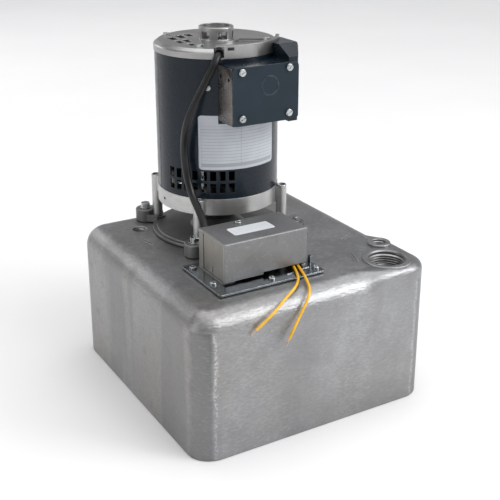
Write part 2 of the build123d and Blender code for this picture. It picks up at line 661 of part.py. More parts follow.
# ---------------------------------------------------------------- motor bracket
with BuildPart() as motor_bracket:
    with BuildSketch(Plane.XY.offset(RING_Z0)):
        with Locations((MX, MY)):
            Circle(RING_R)
            Circle(RING_R - 6, mode=Mode.SUBTRACT)
    extrude(amount=SHELL_Z0 - RING_Z0)
    # arms to the bearing hub
    for a in (45.0, 135.0):
        with Locations(Location((MX, MY, RING_Z0 + 3.5), (0, 0, a))):
            Box(2 * RING_R - 4, 18, 7)
    with BuildSketch(Plane.XY.offset(202)):
        with Locations((MX, MY)):
            Circle(24)
    extrude(amount=22)
    # posts on the diagonals, joined to the ring
    for a in DIAG:
        with Locations(Location((*polar(73.5, a), (RING_Z0 + SHELL_Z0) / 2), (0, 0, a))):
            Box(9, 11.6, SHELL_Z0 - RING_Z0)
    with BuildSketch(Plane.XY.offset(BASE_Z + 6.5)):
        with Locations(*[polar(POST_PC, a) for a in DIAG]):
            Circle(POST_R)
    extrude(amount=POST_TOP - BASE_Z - 6.5)
    fillet(motor_bracket.edges().filter_by(GeomType.CIRCLE).group_by(Axis.Z)[-1], 1.0)
    # bearing seat, shaft hole
    with BuildSketch(Plane.XY.offset(212)):
        with Locations((MX, MY)):
            Circle(16)
    extrude(amount=30, mode=Mode.SUBTRACT)
    with BuildSketch(Plane.XY.offset(200)):
        with Locations((MX, MY)):
            Circle(9)
    extrude(amount=30, mode=Mode.SUBTRACT)
    # screw bores in the posts
    with BuildSketch(Plane.XY.offset(BASE_Z)):
        with Locations(*[polar(POST_PC, a) for a in DIAG]):
            Circle(2.7)
    extrude(amount=80, mode=Mode.SUBTRACT)
    with BuildSketch(Plane.XY.offset(220.5)):
        with Locations(*[polar(POST_PC, a) for a in DIAG]):
            Circle(4.6)
    extrude(amount=20, mode=Mode.SUBTRACT)
    # tapped holes for the through bolts
    with BuildSketch(Plane.XY.offset(207)):
        with Locations(*[polar(THROUGH_PC, a) for a in DIAG]):
            Circle(2.3)
    extrude(amount=20, mode=Mode.SUBTRACT)
    # small drain hole in the ring
    with BuildSketch(Plane(origin=(MX, MY, 214.8), z_dir=(cos(radians(181.3)), sin(radians(181.3)), 0)).offset(60)):
        Circle(1.9)
    extrude(amount=20, mode=Mode.SUBTRACT)
save(motor_bracket.part, "motor_bracket")

with BuildPart() as post_screws:
    with BuildSketch(Plane.XY.offset(BASE_Z + 1.5)):
        with Locations(*[polar(POST_PC, a) for a in DIAG]):
            Circle(2.5)
    extrude(amount=220.5 - BASE_Z - 1.5)
    with BuildSketch(Plane.XY.offset(220.5)):
        with Locations(*[polar(POST_PC, a) for a in DIAG]):
            Circle(4.4)
    extrude(amount=4.6)
    with BuildSketch(Plane.XY.offset(222.3)):
        with Locations(*[polar(POST_PC, a) for a in DIAG]):
            RegularPolygon(2.3, 6)
    extrude(amount=5, mode=Mode.SUBTRACT)
save(post_screws.part, "post_screws")

with BuildPart() as motor_bearings:
    for z0 in (212.0, 380.0):
        with BuildSketch(Plane.XY.offset(z0)):
            with Locations((MX, MY)):
                Circle(16)
                Circle(13.4, mode=Mode.SUBTRACT)
        extrude(amount=10)
        with BuildSketch(Plane.XY.offset(z0)):
            with Locations((MX, MY)):
                Circle(10.2)
                Circle(BUSH_R, mode=Mode.SUBTRACT)
        extrude(amount=10)
        with BuildSketch(Plane.XY.offset(z0 + 1.2)):
            with Locations((MX, MY)):
                Circle(13.4)
                Circle(10.2, mode=Mode.SUBTRACT)
        extrude(amount=7.6)
save(motor_bearings.part, "motor_bearings")

# ---------------------------------------------------------------- motor shell and core
LOUVRE_A = [254.5 - 8.55 * i for i in range(8)]
with BuildPart() as motor_shell:
    with BuildSketch(Plane.XY.offset(SHELL_Z0)):
        with Locations((MX, MY)):
            Circle(SHELL_R)
            Circle(SHELL_RI, mode=Mode.SUBTRACT)
    extrude(amount=SHELL_Z1 - SHELL_Z0)
    for a in LOUVRE_A + [v - 180.0 for v in LOUVRE_A]:
        with Locations(Location((*polar(70, a), 252.4), (0, 0, a)), Location((*polar(70, a), 238.0), (0, 0, a))):
            Box(12, 7.0, 11.2, mode=Mode.SUBTRACT)
    # rolled seam
    with Locations(Location((*polar(SHELL_R, 174.0), (SHELL_Z0 + SHELL_Z1) / 2), (0, 0, 174.0))):
        Box(0.8, 1.2, SHELL_Z1 - SHELL_Z0 + 2, mode=Mode.SUBTRACT)
    # wire entry behind the conduit box
    with BuildSketch(Plane(origin=(MX, MY, 350), z_dir=(0, -1, 0)).offset(40)):
        Circle(9)
    extrude(amount=60, mode=Mode.SUBTRACT)
save(motor_shell.part, "motor_shell")

with BuildPart() as stator_core:
    with BuildSketch(Plane.XY.offset(278)):
        with Locations((MX, MY)):
            Circle(SHELL_RI)
            Circle(35, mode=Mode.SUBTRACT)
        with Locations(*[polar(THROUGH_PC, a) for a in DIAG]):
            Circle(3.0, mode=Mode.SUBTRACT)
    extrude(amount=62)
save(stator_core.part, "stator_core")

with BuildPart() as stator_windings:
    for z0, h in ((258.0, 20.0), (340.0, 20.0)):
        with BuildSketch(Plane.XY.offset(z0)):
            with Locations((MX, MY)):
                Circle(56)
                Circle(39, mode=Mode.SUBTRACT)
        extrude(amount=h)
    fillet(stator_windings.edges().filter_by(GeomType.CIRCLE).group_by(Axis.Z)[0], 6)
    fillet(stator_windings.edges().filter_by(GeomType.CIRCLE).group_by(Axis.Z)[-1], 6)
save(stator_windings.part, "stator_windings")

# ---------------------------------------------------------------- upper end bell
RIM_A0, RIM_A1 = 241.0, 332.0
BOLT_A = (47.0, 137.0, 227.0, 317.0)


def sector(r, a0, a1):
    n = 8
    return [(0, 0)] + [(r * cos(radians(a0 + (a1 - a0) * i / n)), r * sin(radians(a0 + (a1 - a0) * i / n))) for i in range(n + 1)]


with BuildPart() as upper_end_bell:
    with BuildSketch(Plane.XZ):
        with BuildLine():
            Polyline((0, 395.5), (66.5, 395.5), (BELL_R - 1.2, 392.6), (BELL_R, 391.0), (BELL_R, 385.0),
                     (68.4, 385.0), (68.4, 388.0), (63.0, 391.2), (0, 391.2), close=True)
        make_face()
    revolve(axis=Axis.Z)
    # raised rim of the wiring pocket
    with BuildSketch(Plane.XY.offset(385)):
        Circle(BELL_R)
        Circle(67.6, mode=Mode.SUBTRACT)
        with BuildLine():
            Polyline(*sector(100, RIM_A0, RIM_A1), close=True)
        make_face(mode=Mode.INTERSECT)
    extrude(amount=14.8)
    # pocket floor lowered inside the rim
    with BuildSketch(Plane.XY.offset(392.8)):
        Circle(67.6)
        Circle(26, mode=Mode.SUBTRACT)
        with BuildLine():
            Polyline(*sector(100, RIM_A0 + 4, RIM_A1 - 4), close=True)
        make_face(mode=Mode.INTERSECT)
    extrude(amount=20, mode=Mode.SUBTRACT)
    # hub with open windows
    with BuildSketch(Plane.XY.offset(380)):
        Circle(HUB_R)
    extrude(amount=HUB_TOP - 380)
    fillet(upper_end_bell.edges().filter_by(GeomType.CIRCLE).group_by(Axis.Z)[-1], 1.6)
    with BuildSketch(Plane.XY.offset(392)):
        Circle(15.5)
    extrude(amount=40, mode=Mode.SUBTRACT)
    with BuildSketch(Plane.XY.offset(370)):
        Circle(16)
    extrude(amount=20, mode=Mode.SUBTRACT)
    with BuildSketch(Plane.XY.offset(370)):
        Circle(9)
    extrude(amount=40, mode=Mode.SUBTRACT)
    for a in (0.0, 60.0, 120.0):
        with Locations(Location((0, 0, 400.6), (0, 0, a + 23))):
            Box(50, 11.5, 8.6, mode=Mode.SUBTRACT)
    # bolt seats in the pocket
    with BuildSketch(Plane.XY.offset(391.5)):
        with Locations(*[(THROUGH_PC * cos(radians(a)), THROUGH_PC * sin(radians(a))) for a in DIAG]):
            Circle(6.4)
    extrude(amount=4.0)
    with BuildSketch(Plane.XY.offset(380)):
        with Locations(*[(THROUGH_PC * cos(radians(a)), THROUGH_PC * sin(radians(a))) for a in DIAG]):
            Circle(2.4)
    extrude(amount=30, mode=Mode.SUBTRACT)
    # thinner wall under the vent slots
    for rp, p0, p1 in ((52.0, 104.0, 143.5), (58.0, 143.0, 214.0)):
        with BuildSketch(Plane.XY.offset(384.0)):
            Circle(rp)
            Circle(26.0, mode=Mode.SUBTRACT)
            with BuildLine():
                Polyline(*sector(100, p0, p1), close=True)
            make_face(mode=Mode.INTERSECT)
        extrude(amount=9.3, mode=Mode.SUBTRACT)
    # vent slots
    for r0, a0, ly, lx in ((50.0, 153.0, 17.0, 8.0), (42.5, 137.0, 17.0, 8.0), (38.0, 119.0, 15.0, 8.0),
                           (47.0, 181.0, 14.0, 7.0), (36.5, 178.0, 14.0, 7.0), (48.0, 207.0, 12.0, 7.0)):
        with Locations(Location((r0 * cos(radians(a0)), r0 * sin(radians(a0)), 393), (0, 0, 90.0))):
            Box(ly, lx, 12, mode=Mode.SUBTRACT)
    # cable notch and a second, shallower notch
    with Locations(Location((69.0 * cos(radians(243.9)), 69.0 * sin(radians(243.9)), 392.2), (0, 0, 243.9))):
        Box(19, 10.8, 12.0, mode=Mode.SUBTRACT)
    with Locations(Location((71.5 * cos(radians(254.3)), 71.5 * sin(radians(254.3)), 395.6), (0, 0, 254.3))):
        Box(12, 7.4, 3.6, mode=Mode.SUBTRACT)
upper_end_bell.part.position = (MX, MY, 0)
save(upper_end_bell.part, "upper_end_bell")

with BuildPart() as through_bolts:
    with BuildSketch(Plane.XY.offset(208)):
        with Locations(*[polar(THROUGH_PC, a) for a in DIAG]):
            Circle(2.2)
    extrude(amount=395.5 - 208)
    with BuildSketch(Plane.XY.offset(395.5)):
        with Locations(*[polar(THROUGH_PC, a) for a in DIAG]):
            RegularPolygon(4.4, 6)
    extrude(amount=3.4)
    with BuildSketch(Plane.XY.offset(397.9)):
        with Locations(*[polar(THROUGH_PC, a) for a in DIAG]):
            Rectangle(5.4, 1.1)
    extrude(amount=2, mode=Mode.SUBTRACT)
save(through_bolts.part, "through_bolts")

# ---------------------------------------------------------------- nameplate
with BuildPart() as nameplate:
    with BuildSketch(Plane.XY.offset(258.0)):
        Circle(SHELL_R + 0.35)
        Circle(SHELL_R, mode=Mode.SUBTRACT)
        with BuildLine():
            Polyline(*sector(100, 221.0, 306.0), close=True)
        make_face(mode=Mode.INTERSECT)
    extrude(amount=66.5)
nameplate.part.position = (MX, MY, 0)
with BuildPart() as nameplate_cut:
    add(nameplate.part)
    with BuildSketch(Plane(origin=(MX, MY, 291.25), x_dir=(-sin(radians(263.5)), cos(radians(263.5)), 0),
                           z_dir=(cos(radians(263.5)), sin(radians(263.5)), 0))):
        RectangleRounded(2 * (SHELL_R + 0.35) * sin(radians(39.0)), 62.5, 3.4)
    extrude(amount=100, mode=Mode.INTERSECT)
    with Locations((CB_X0 - 0.6 + 60, MY - 60, 313.2 + 20)):
        Box(120, 120, 40, mode=Mode.SUBTRACT)
save(nameplate_cut.part, "nameplate")

# ---------------------------------------------------------------- conduit box
WT = 1.4
with BuildPart() as bay_outer:
    with BuildSketch(Plane.YZ.offset(33)):
        with BuildLine():
            Polyline((45, 314), (CB_Y0, 314), (CB_Y0, 386), (-13, 396.5), (45, 396.5), close=True)
        make_face()
    extrude(amount=28)
    with BuildSketch(Plane.XY.offset(300)):
        with BuildLine():
            Polyline((CB_X1, CB_Y0), (61.0, -8.0), (90, -8), (90, -60), (CB_X1, -60), close=True)
        make_face()
    extrude(amount=120, mode=Mode.SUBTRACT)
    fillet(bay_outer.edges().filter_by(Axis.Z).filter_by_position(Axis.X, 40, 70), 3.5)
    fillet(bay_outer.edges().group_by(Axis.Z)[-1].filter_by_position(Axis.X, 33.5, 70), 3.0)
with BuildPart() as bay_inner:
    with BuildSketch(Plane.YZ.offset(33 + WT)):
        with BuildLine():
            Polyline((45, 314 + WT), (CB_Y0 - 5, 314 + WT), (CB_Y0 - 5, 372.0), (CB_Y0 + WT, 372.0), (CB_Y0 + WT, 384.9), (-13.4, 396.5 - WT), (45, 396.5 - WT), close=True)
        make_face()
    extrude(amount=28 - 2 * WT)
    with BuildSketch(Plane.XY.offset(300)):
        with BuildLine():
            Polyline((CB_X1 - WT * 1.3, -60), (CB_X1 - WT * 1.3, CB_Y0), (61.0 - WT * 1.3, -8.0 + 0.4), (90, -7.6), (90, -60), close=True)
        make_face()
    extrude(amount=120, mode=Mode.SUBTRACT)

with BuildPart() as conduit_box:
    with Locations(((CB_X0 + CB_X1) / 2, (CB_Y0 + 20) / 2, (CB_Z0 + CB_Z1) / 2)):
        Box(CB_X1 - CB_X0, 20 - CB_Y0, CB_Z1 - CB_Z0)
    fillet(conduit_box.edges().filter_by(Axis.Y), 2.0)
    add(bay_outer.part)
    with Locations(((CB_X0 + CB_X1) / 2, (CB_Y0 + 20) / 2 + 1.0, (CB_Z0 + CB_Z1) / 2)):
        Box(CB_X1 - CB_X0 - 2 * WT, 20 - CB_Y0 + 2 - 2.8, CB_Z1 - CB_Z0 - 2 * WT, mode=Mode.SUBTRACT)
    # front opening inside a lip
    with Locations(((CB_X0 + CB_X1) / 2, CB_Y0, (CB_Z0 + CB_Z1) / 2)):
        Box(CB_X1 - CB_X0 - 8, 8, CB_Z1 - CB_Z0 - 22, mode=Mode.SUBTRACT)
    add(bay_inner.part, mode=Mode.SUBTRACT)
    # close the lip again over the top of the bay, then trim to the shell
    with BuildSketch(Plane.XY.offset(290)):
        with Locations((MX, MY)):
            Circle(SHELL_R)
    extrude(amount=130, mode=Mode.SUBTRACT)
    with BuildSketch(Plane.XY.offset(SHELL_Z1 - 0.3)):
        with Locations((MX, MY)):
            Circle(BELL_R + 0.4)
    extrude(amount=30, mode=Mode.SUBTRACT)
    with Locations((MX, MY + 60, 350)):
        Box(200, 120, 130, mode=Mode.SUBTRACT)
    with BuildSketch(Plane(origin=(0, CB_Y0 - 1, 0), x_dir=(1, 0, 0), z_dir=(0, 1, 0))):
        with Locations(*[(x, -z) for x, z in CB_SCREWS]):
            Circle(2.1)
    extrude(amount=6, mode=Mode.SUBTRACT)
    # two small side holes
    with BuildSketch(Plane(origin=(CB_X0 - 1, 0, 0), x_dir=(0, 1, 0), z_dir=(1, 0, 0))):
        with Locations((-9.0, 368.0), (-26.5, 366.5)):
            Circle(1.8)
    extrude(amount=4, mode=Mode.SUBTRACT)
save(conduit_box.part, "conduit_box")

with BuildPart() as conduit_cover:
    with BuildSketch(Plane(origin=(0, CB_Y0, 0), x_dir=(1, 0, 0), z_dir=(0, -1, 0))):
        with Locations(((CB_X0 + CB_X1) / 2, (CB_Z0 + CB_Z1) / 2)):
            RectangleRounded(CB_X1 - CB_X0, CB_Z1 - CB_Z0, 5)
        with Locations(*CB_SCREWS):
            Circle(2.1, mode=Mode.SUBTRACT)
    extrude(amount=COVER_T)
    # pressed ring of a closed cable knock-out
    with BuildSketch(Plane(origin=(0, CB_Y0 - COVER_T, 0), x_dir=(1, 0, 0), z_dir=(0, -1, 0))):
        with Locations((7.9, 357.5)):
            Circle(11)
            Circle(9.8, mode=Mode.SUBTRACT)
    extrude(amount=0.4)
save(conduit_cover.part, "conduit_cover")

with BuildPart() as conduit_cover_screws:
    with BuildSketch(Plane(origin=(0, CB_Y0 - COVER_T, 0), x_dir=(1, 0, 0), z_dir=(0, -1, 0))):
        with Locations(*CB_SCREWS):
            Circle(4.2)
    extrude(amount=2.6)
    fillet(conduit_cover_screws.edges().group_by(Axis.Y)[0], 1.0)
    with BuildSketch(Plane(origin=(0, CB_Y0 - COVER_T - 1.4, 0), x_dir=(1, 0, 0), z_dir=(0, -1, 0))):
        with Locations(*CB_SCREWS):
            Rectangle(10, 1.2, rotation=24)
    extrude(amount=2, mode=Mode.SUBTRACT)
    with BuildSketch(Plane(origin=(0, CB_Y0 - COVER_T, 0), x_dir=(1, 0, 0), z_dir=(0, 1, 0))):
        with Locations(*[(x, -z) for x, z in CB_SCREWS]):
            Circle(2.0)
    extrude(amount=9)
save(conduit_cover_screws.part, "conduit_cover_screws")

with BuildPart() as terminal_board:
    with Locations((-8.0, -20.0, CB_Z0 + WT + 15)):
        Box(34, 3, 30)
    with Locations((-8.0, -17.2, CB_Z0 + WT + 1.5)):
        Box(34, 2.6, 3)
    for i in range(4):
        with Locations((-20.0 + 8 * i, -22.8, CB_Z0 + WT + 20)):
            Box(4, 2.6, 5)
save(terminal_board.part, "terminal_board")

with BuildPart() as capacitor:
    with BuildSketch(Plane.XY.offset(314 + WT)):
        with Locations((46.0, -5.4)):
            Circle(11.2)
    extrude(amount=68)
    fillet(capacitor.edges().group_by(Axis.Z)[-1], 1.5)
    with BuildSketch(Plane.XY.offset(314 + WT + 68)):
        with Locations((43.0, -5.4), (49.0, -5.4)):
            Rectangle(0.9, 5)
    extrude(amount=5)
save(capacitor.part, "capacitor")

GS = 233.8
with BuildPart() as ground_screw:
    with BuildSketch(Plane(origin=(MX, MY, 354.0), z_dir=(cos(radians(GS)), sin(radians(GS)), 0)).offset(SHELL_R)):
        Circle(3.2)
    extrude(amount=2.4)
save(ground_screw.part, "ground_screw")

# ---------------------------------------------------------------- rotor
with BuildPart() as motor_shaft:
    with BuildSketch(Plane.XY.offset(28)):
        with Locations((MX, MY)):
            Circle(SHAFT_R)
    extrude(amount=376)
    chamfer(motor_shaft.edges().group_by(Axis.Z)[-1], 0.8)
save(motor_shaft.part, "motor_shaft")

with BuildPart() as rotor_core:
    with BuildSketch(Plane.XY.offset(274)):
        with Locations((MX, MY)):
            Circle(34.4)
            Circle(SHAFT_R, mode=Mode.SUBTRACT)
    extrude(amount=70)
    with BuildSketch(Plane.XY.offset(344)):
        with Locations((MX, MY)):
            Circle(33)
            Circle(25, mode=Mode.SUBTRACT)
    extrude(amount=5)
    with BuildSketch(Plane.XY.offset(269)):
        with Locations((MX, MY)):
            Circle(33)
            Circle(25, mode=Mode.SUBTRACT)
    extrude(amount=5)
save(rotor_core.part, "rotor_core")

with BuildPart() as cooling_fan:
    with BuildSketch(Plane.XY.offset(232)):
        with Locations((MX, MY)):
            Circle(14)
    extrude(amount=18)
    with BuildSketch(Plane.XY.offset(232)):
        with Locations((MX, MY)):
            Circle(52)
    extrude(amount=2)
    for i in range(9):
        with Locations(Location((*polar(34, i * 40.0), 241.0), (0, 0, i * 40.0 + 12))):
            Box(38, 2, 18)
    with BuildSketch(Plane.XY.offset(230)):
        with Locations((MX, MY)):
            Circle(SHAFT_R)
    extrude(amount=30, mode=Mode.SUBTRACT)
save(cooling_fan.part, "cooling_fan")

with BuildPart() as shaft_slinger:
    with BuildSketch(Plane.XY.offset(187)):
        with Locations((MX, MY)):
            Circle(11)
    extrude(amount=10)
    with BuildSketch(Plane.XY.offset(190)):
        with Locations((MX, MY)):
            Circle(27)
    extrude(amount=2.5)
    with BuildSketch(Plane.XY.offset(187)):
        with Locations((MX, MY)):
            Circle(SHAFT_R)
    extrude(amount=10, mode=Mode.SUBTRACT)
save(shaft_slinger.part, "shaft_slinger")

with BuildPart() as impeller:
    with BuildSketch(Plane.XY.offset(40)):
        with Locations((MX, MY)):
            Circle(31)
    extrude(amount=3)
    with BuildSketch(Plane.XY.offset(29)):
        with Locations((MX, MY)):
            Circle(11)
    extrude(amount=14)
    for i in range(6):
        with Locations(Location((*polar(19.5, i * 60.0), 34.6), (0, 0, i * 60.0 + 26))):
            Box(22, 2.4, 11)
    with BuildSketch(Plane.XY.offset(28)):
        with Locations((MX, MY)):
            Circle(SHAFT_R)
    extrude(amount=20, mode=Mode.SUBTRACT)
save(impeller.part, "impeller")

with BuildPart() as impeller_nut:
    with BuildSketch(Plane.XY.offset(22.5)):
        with Locations((MX, MY)):
            RegularPolygon(8, 6)
    extrude(amount=5.5)
save(impeller_nut.part, "impeller_nut")

# ---------------------------------------------------------------- cables
def run(points, share=0.45):
    """Tangent arc radius at every inner corner."""
    radii = []
    for i in range(1, len(points) - 1):
        a = [points[i][k] - points[i - 1][k] for k in range(3)]
        b = [points[i + 1][k] - points[i][k] for k in range(3)]
        la, lb = sqrt(sum(v * v for v in a)), sqrt(sum(v * v for v in b))
        c = sum(a[k] * b[k] for k in range(3)) / la / lb
        radii.append(share * min(la, lb) / tan(acos(max(-1, min(1, c))) / 2))
    return radii


def heading(points):
    d = [points[1][k] - points[0][k] for k in range(3)]
    return tuple(d)


CABLE_R, LEAD_R, COPPER_R = 4.25, 1.5, 0.9
CU = (cos(radians(243.9)), sin(radians(243.9)))
CABLE = [(MX + 62 * CU[0], MY + 62 * CU[1], 393.6), (MX + 79 * CU[0], MY + 79 * CU[1], 391.1),
         (-59.5, -8.0, 357.2), (-77.5, -1.4, 319.3), (-72.4, 16.4, 281.0), (-70.7, 7.7, 239.5),
         (-68.4, -20.9, 213.0), (ENTRY_X, -33.0, ENTRY_Z), (ENTRY_X, -50.5, ENTRY_Z)]
with BuildPart() as motor_cable:
    with BuildLine() as cable_path:
        FilletPolyline(*CABLE, radius=run(CABLE))
    with BuildSketch(Plane(origin=CABLE[0], z_dir=heading(CABLE))):
        Circle(CABLE_R)
    sweep()
save(motor_cable.part, "motor_cable")

with BuildPart() as bell_grommet:
    with BuildSketch(Plane(origin=CABLE[0], z_dir=heading(CABLE)).offset(6.2)):
        Circle(5.2)
        Circle(CABLE_R, mode=Mode.SUBTRACT)
    extrude(amount=5.6)
save(bell_grommet.part, "bell_grommet")

LEAD_A = [(3.0, -92.0, 170.6), (-5.8, -118.2, 170.8), (-21.1, -141.3, 170.2), (-43.2, -151.1, 163.4),
          (-63.7, -163.1, 157.3), (-82.1, -159.7, 142.0)]
LEAD_B = [(8.0, -92.0, 170.6), (1.9, -112.8, 170.8), (-5.6, -133.6, 170.5), (-13.3, -154.9, 165.7),
          (-30.9, -161.5, 146.5), (-44.9, -163.1, 123.6)]
TIP_L = 8.5


for nm, pts in (("alarm_lead_a", LEAD_A), ("alarm_lead_b", LEAD_B)):
    with BuildPart() as lead:
        with BuildLine() as lead_path:
            FilletPolyline(*pts, radius=run(pts))
        with BuildSketch(Plane(origin=pts[0], z_dir=heading(pts))):
            Circle(LEAD_R)
        sweep()
    print(nm, "length", round(sum(e.length for e in lead_path.edges()), 1), "radii", [round(v, 1) for v in run(pts)],
          "volume ratio", round(lead.part.volume / (sum(e.length for e in lead_path.edges()) * 3.14159265 * LEAD_R ** 2), 3))
    save(lead.part, nm)
for nm, pts in (("alarm_lead_a_tip", LEAD_A), ("alarm_lead_b_tip", LEAD_B)):
    with BuildPart() as tip:
        with BuildSketch(Plane(origin=pts[-1], z_dir=heading(pts[-2:]))):
            Circle(COPPER_R)
        extrude(amount=TIP_L)
    save(tip.part, nm)
print("motor_cable length", round(sum(e.length for e in cable_path.edges()), 1), "radii", [round(v, 1) for v in run(CABLE)],
      "volume ratio", round(motor_cable.part.volume / (sum(e.length for e in cable_path.edges()) * 3.14159265 * CABLE_R ** 2), 3))
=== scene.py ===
import bpy, bmesh, math, random
from math import cos, sin, pi, radians
from mathutils import Vector, Matrix


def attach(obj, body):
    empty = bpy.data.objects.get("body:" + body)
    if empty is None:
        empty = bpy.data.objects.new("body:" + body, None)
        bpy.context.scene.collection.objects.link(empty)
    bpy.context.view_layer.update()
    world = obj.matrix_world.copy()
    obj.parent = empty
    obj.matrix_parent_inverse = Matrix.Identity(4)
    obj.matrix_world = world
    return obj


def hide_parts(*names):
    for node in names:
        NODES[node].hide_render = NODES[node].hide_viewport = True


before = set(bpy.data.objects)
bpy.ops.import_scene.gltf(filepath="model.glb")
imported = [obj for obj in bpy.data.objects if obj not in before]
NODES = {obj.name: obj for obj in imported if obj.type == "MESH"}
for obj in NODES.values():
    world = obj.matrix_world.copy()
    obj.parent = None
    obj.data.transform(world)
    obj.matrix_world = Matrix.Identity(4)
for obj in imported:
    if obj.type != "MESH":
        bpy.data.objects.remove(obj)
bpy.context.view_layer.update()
scene = bpy.context.scene
MX, MY = -0.0057, 0.060
mm = 0.001

# ------------------------------------------------------------------ camera
cam_data = bpy.data.cameras.new("camera")
cam = bpy.data.objects.new("camera", cam_data)
scene.collection.objects.link(cam)
cam_data.sensor_width = 36.0
cam_data.lens = 955.54 / 500.0 * 36.0
cam_data.shift_y = -0.1
cam_data.clip_start, cam_data.clip_end = 0.05, 60.0
cam.location = (-0.5232, -0.8985, 0.5892)
cam.rotation_euler = (pi / 2 - 0.3441, 0.0, -0.5305)
scene.camera = cam


# ------------------------------------------------------------------ cords
def cord_curve(name, points, radius, body="pump_frame"):
    cu = bpy.data.curves.new(name, "CURVE")
    cu.dimensions = "3D"
    sp = cu.splines.new("NURBS")
    sp.points.add(len(points) - 1)
    for p, q in zip(sp.points, points):
        p.co = (q[0] * mm, q[1] * mm, q[2] * mm, 1.0)
        p.radius = radius * mm
    sp.order_u = 3
    sp.use_endpoint_u = True
    sp.resolution_u = 14
    cu.bevel_depth = 1.0
    cu.bevel_resolution = 8
    cu.use_fill_caps = True
    ob = bpy.data.objects.new(name, cu)
    scene.collection.objects.link(ob)
    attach(ob, body)
    return ob


CU = (cos(radians(243.9)), sin(radians(243.9)))
CABLE = [(-5.7 + 62 * CU[0], 60 + 62 * CU[1], 393.6), (-5.7 + 79 * CU[0], 60 + 79 * CU[1], 391.1),
         (-59.5, -8.0, 357.2), (-77.5, -1.4, 319.3), (-72.4, 16.4, 281.0), (-70.7, 7.7, 239.5),
         (-68.4, -20.9, 213.0), (-74.0, -33.0, 200.0), (-74.0, -50.5, 200.0)]
LEAD_A = [(3.0, -92.0, 170.6), (-5.8, -118.2, 170.8), (-21.1, -141.3, 170.2), (-43.2, -151.1, 163.4),
          (-63.7, -163.1, 157.3), (-82.1, -159.7, 142.0)]
LEAD_B = [(8.0, -92.0, 170.6), (1.9, -112.8, 170.8), (-5.6, -133.6, 170.5), (-13.3, -154.9, 165.7),
          (-30.9, -161.5, 146.5), (-44.9, -163.1, 123.6)]
cable = cord_curve("cable_jacket", CABLE, 4.25)
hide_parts("motor_cable")
lead_a = cord_curve("lead_jacket_a", LEAD_A, 1.49)
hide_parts("alarm_lead_a")
lead_b = cord_curve("lead_jacket_b", LEAD_B, 1.49)
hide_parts("alarm_lead_b")


# ------------------------------------------------------------------ mesh helpers
def new_mesh(name, bm, smooth=True, body="pump_frame"):
    me = bpy.data.meshes.new(name)
    bmesh.ops.recalc_face_normals(bm, faces=bm.faces)
    bm.to_mesh(me)
    bm.free()
    for p in me.polygons:
        p.use_smooth = smooth
    ob = bpy.data.objects.new(name, me)
    scene.collection.objects.link(ob)
    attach(ob, body)
    return ob


def ring_strip(bm, rings, closed=False, caps=False):
    """rings: lists of points of equal count, joined around into a tube."""
    vs = [[bm.verts.new(p) for p in r] for r in rings]
    n = len(vs[0])
    for i in range(len(vs) - 1):
        for j in range(n):
            k = (j + 1) % n
            bm.faces.new((vs[i][j], vs[i][k], vs[i + 1][k], vs[i + 1][j]))
    if closed:
        for j in range(n):
            k = (j + 1) % n
            bm.faces.new((vs[-1][j], vs[-1][k], vs[0][k], vs[0][j]))
    if caps:
        bm.faces.new(vs[0][::-1])
        bm.faces.new(vs[-1])
    return vs


# bare stranded ends of the leads
def strands(name, pts, node):
    a, b = Vector(pts[-2]), Vector(pts[-1])
    d = (b - a).normalized()
    u = d.orthogonal().normalized()
    v = d.cross(u)
    bm = bmesh.new()
    seq = [(0.0, 0.0)] + [(0.56, i * pi / 3) for i in range(6)]
    for rad, ph in seq:
        rings = []
        for k in range(19):
            t = k / 18
            s = -0.6 + t * (8.5 + 0.5 - 0.25 * (1 + cos(5 * ph)))
            spread = rad * (1.0 + 0.28 * max(0.0, t - 0.72) / 0.28)
            an = ph + t * 3.6
            c = b + d * s + (u * cos(an) + v * sin(an)) * spread
            rr = 0.30 * (0.55 if k == 18 else 1.0)
            rings.append([(c + (u * cos(q) + v * sin(q)) * rr) * mm for q in [2 * pi * m / 8 for m in range(8)]])
        ring_strip(bm, rings, caps=True)
    ob = new_mesh(name, bm)
    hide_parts(node)
    return ob


tip_a = strands("lead_strands_a", LEAD_A, "alarm_lead_a_tip")
tip_b = strands("lead_strands_b", LEAD_B, "alarm_lead_b_tip")


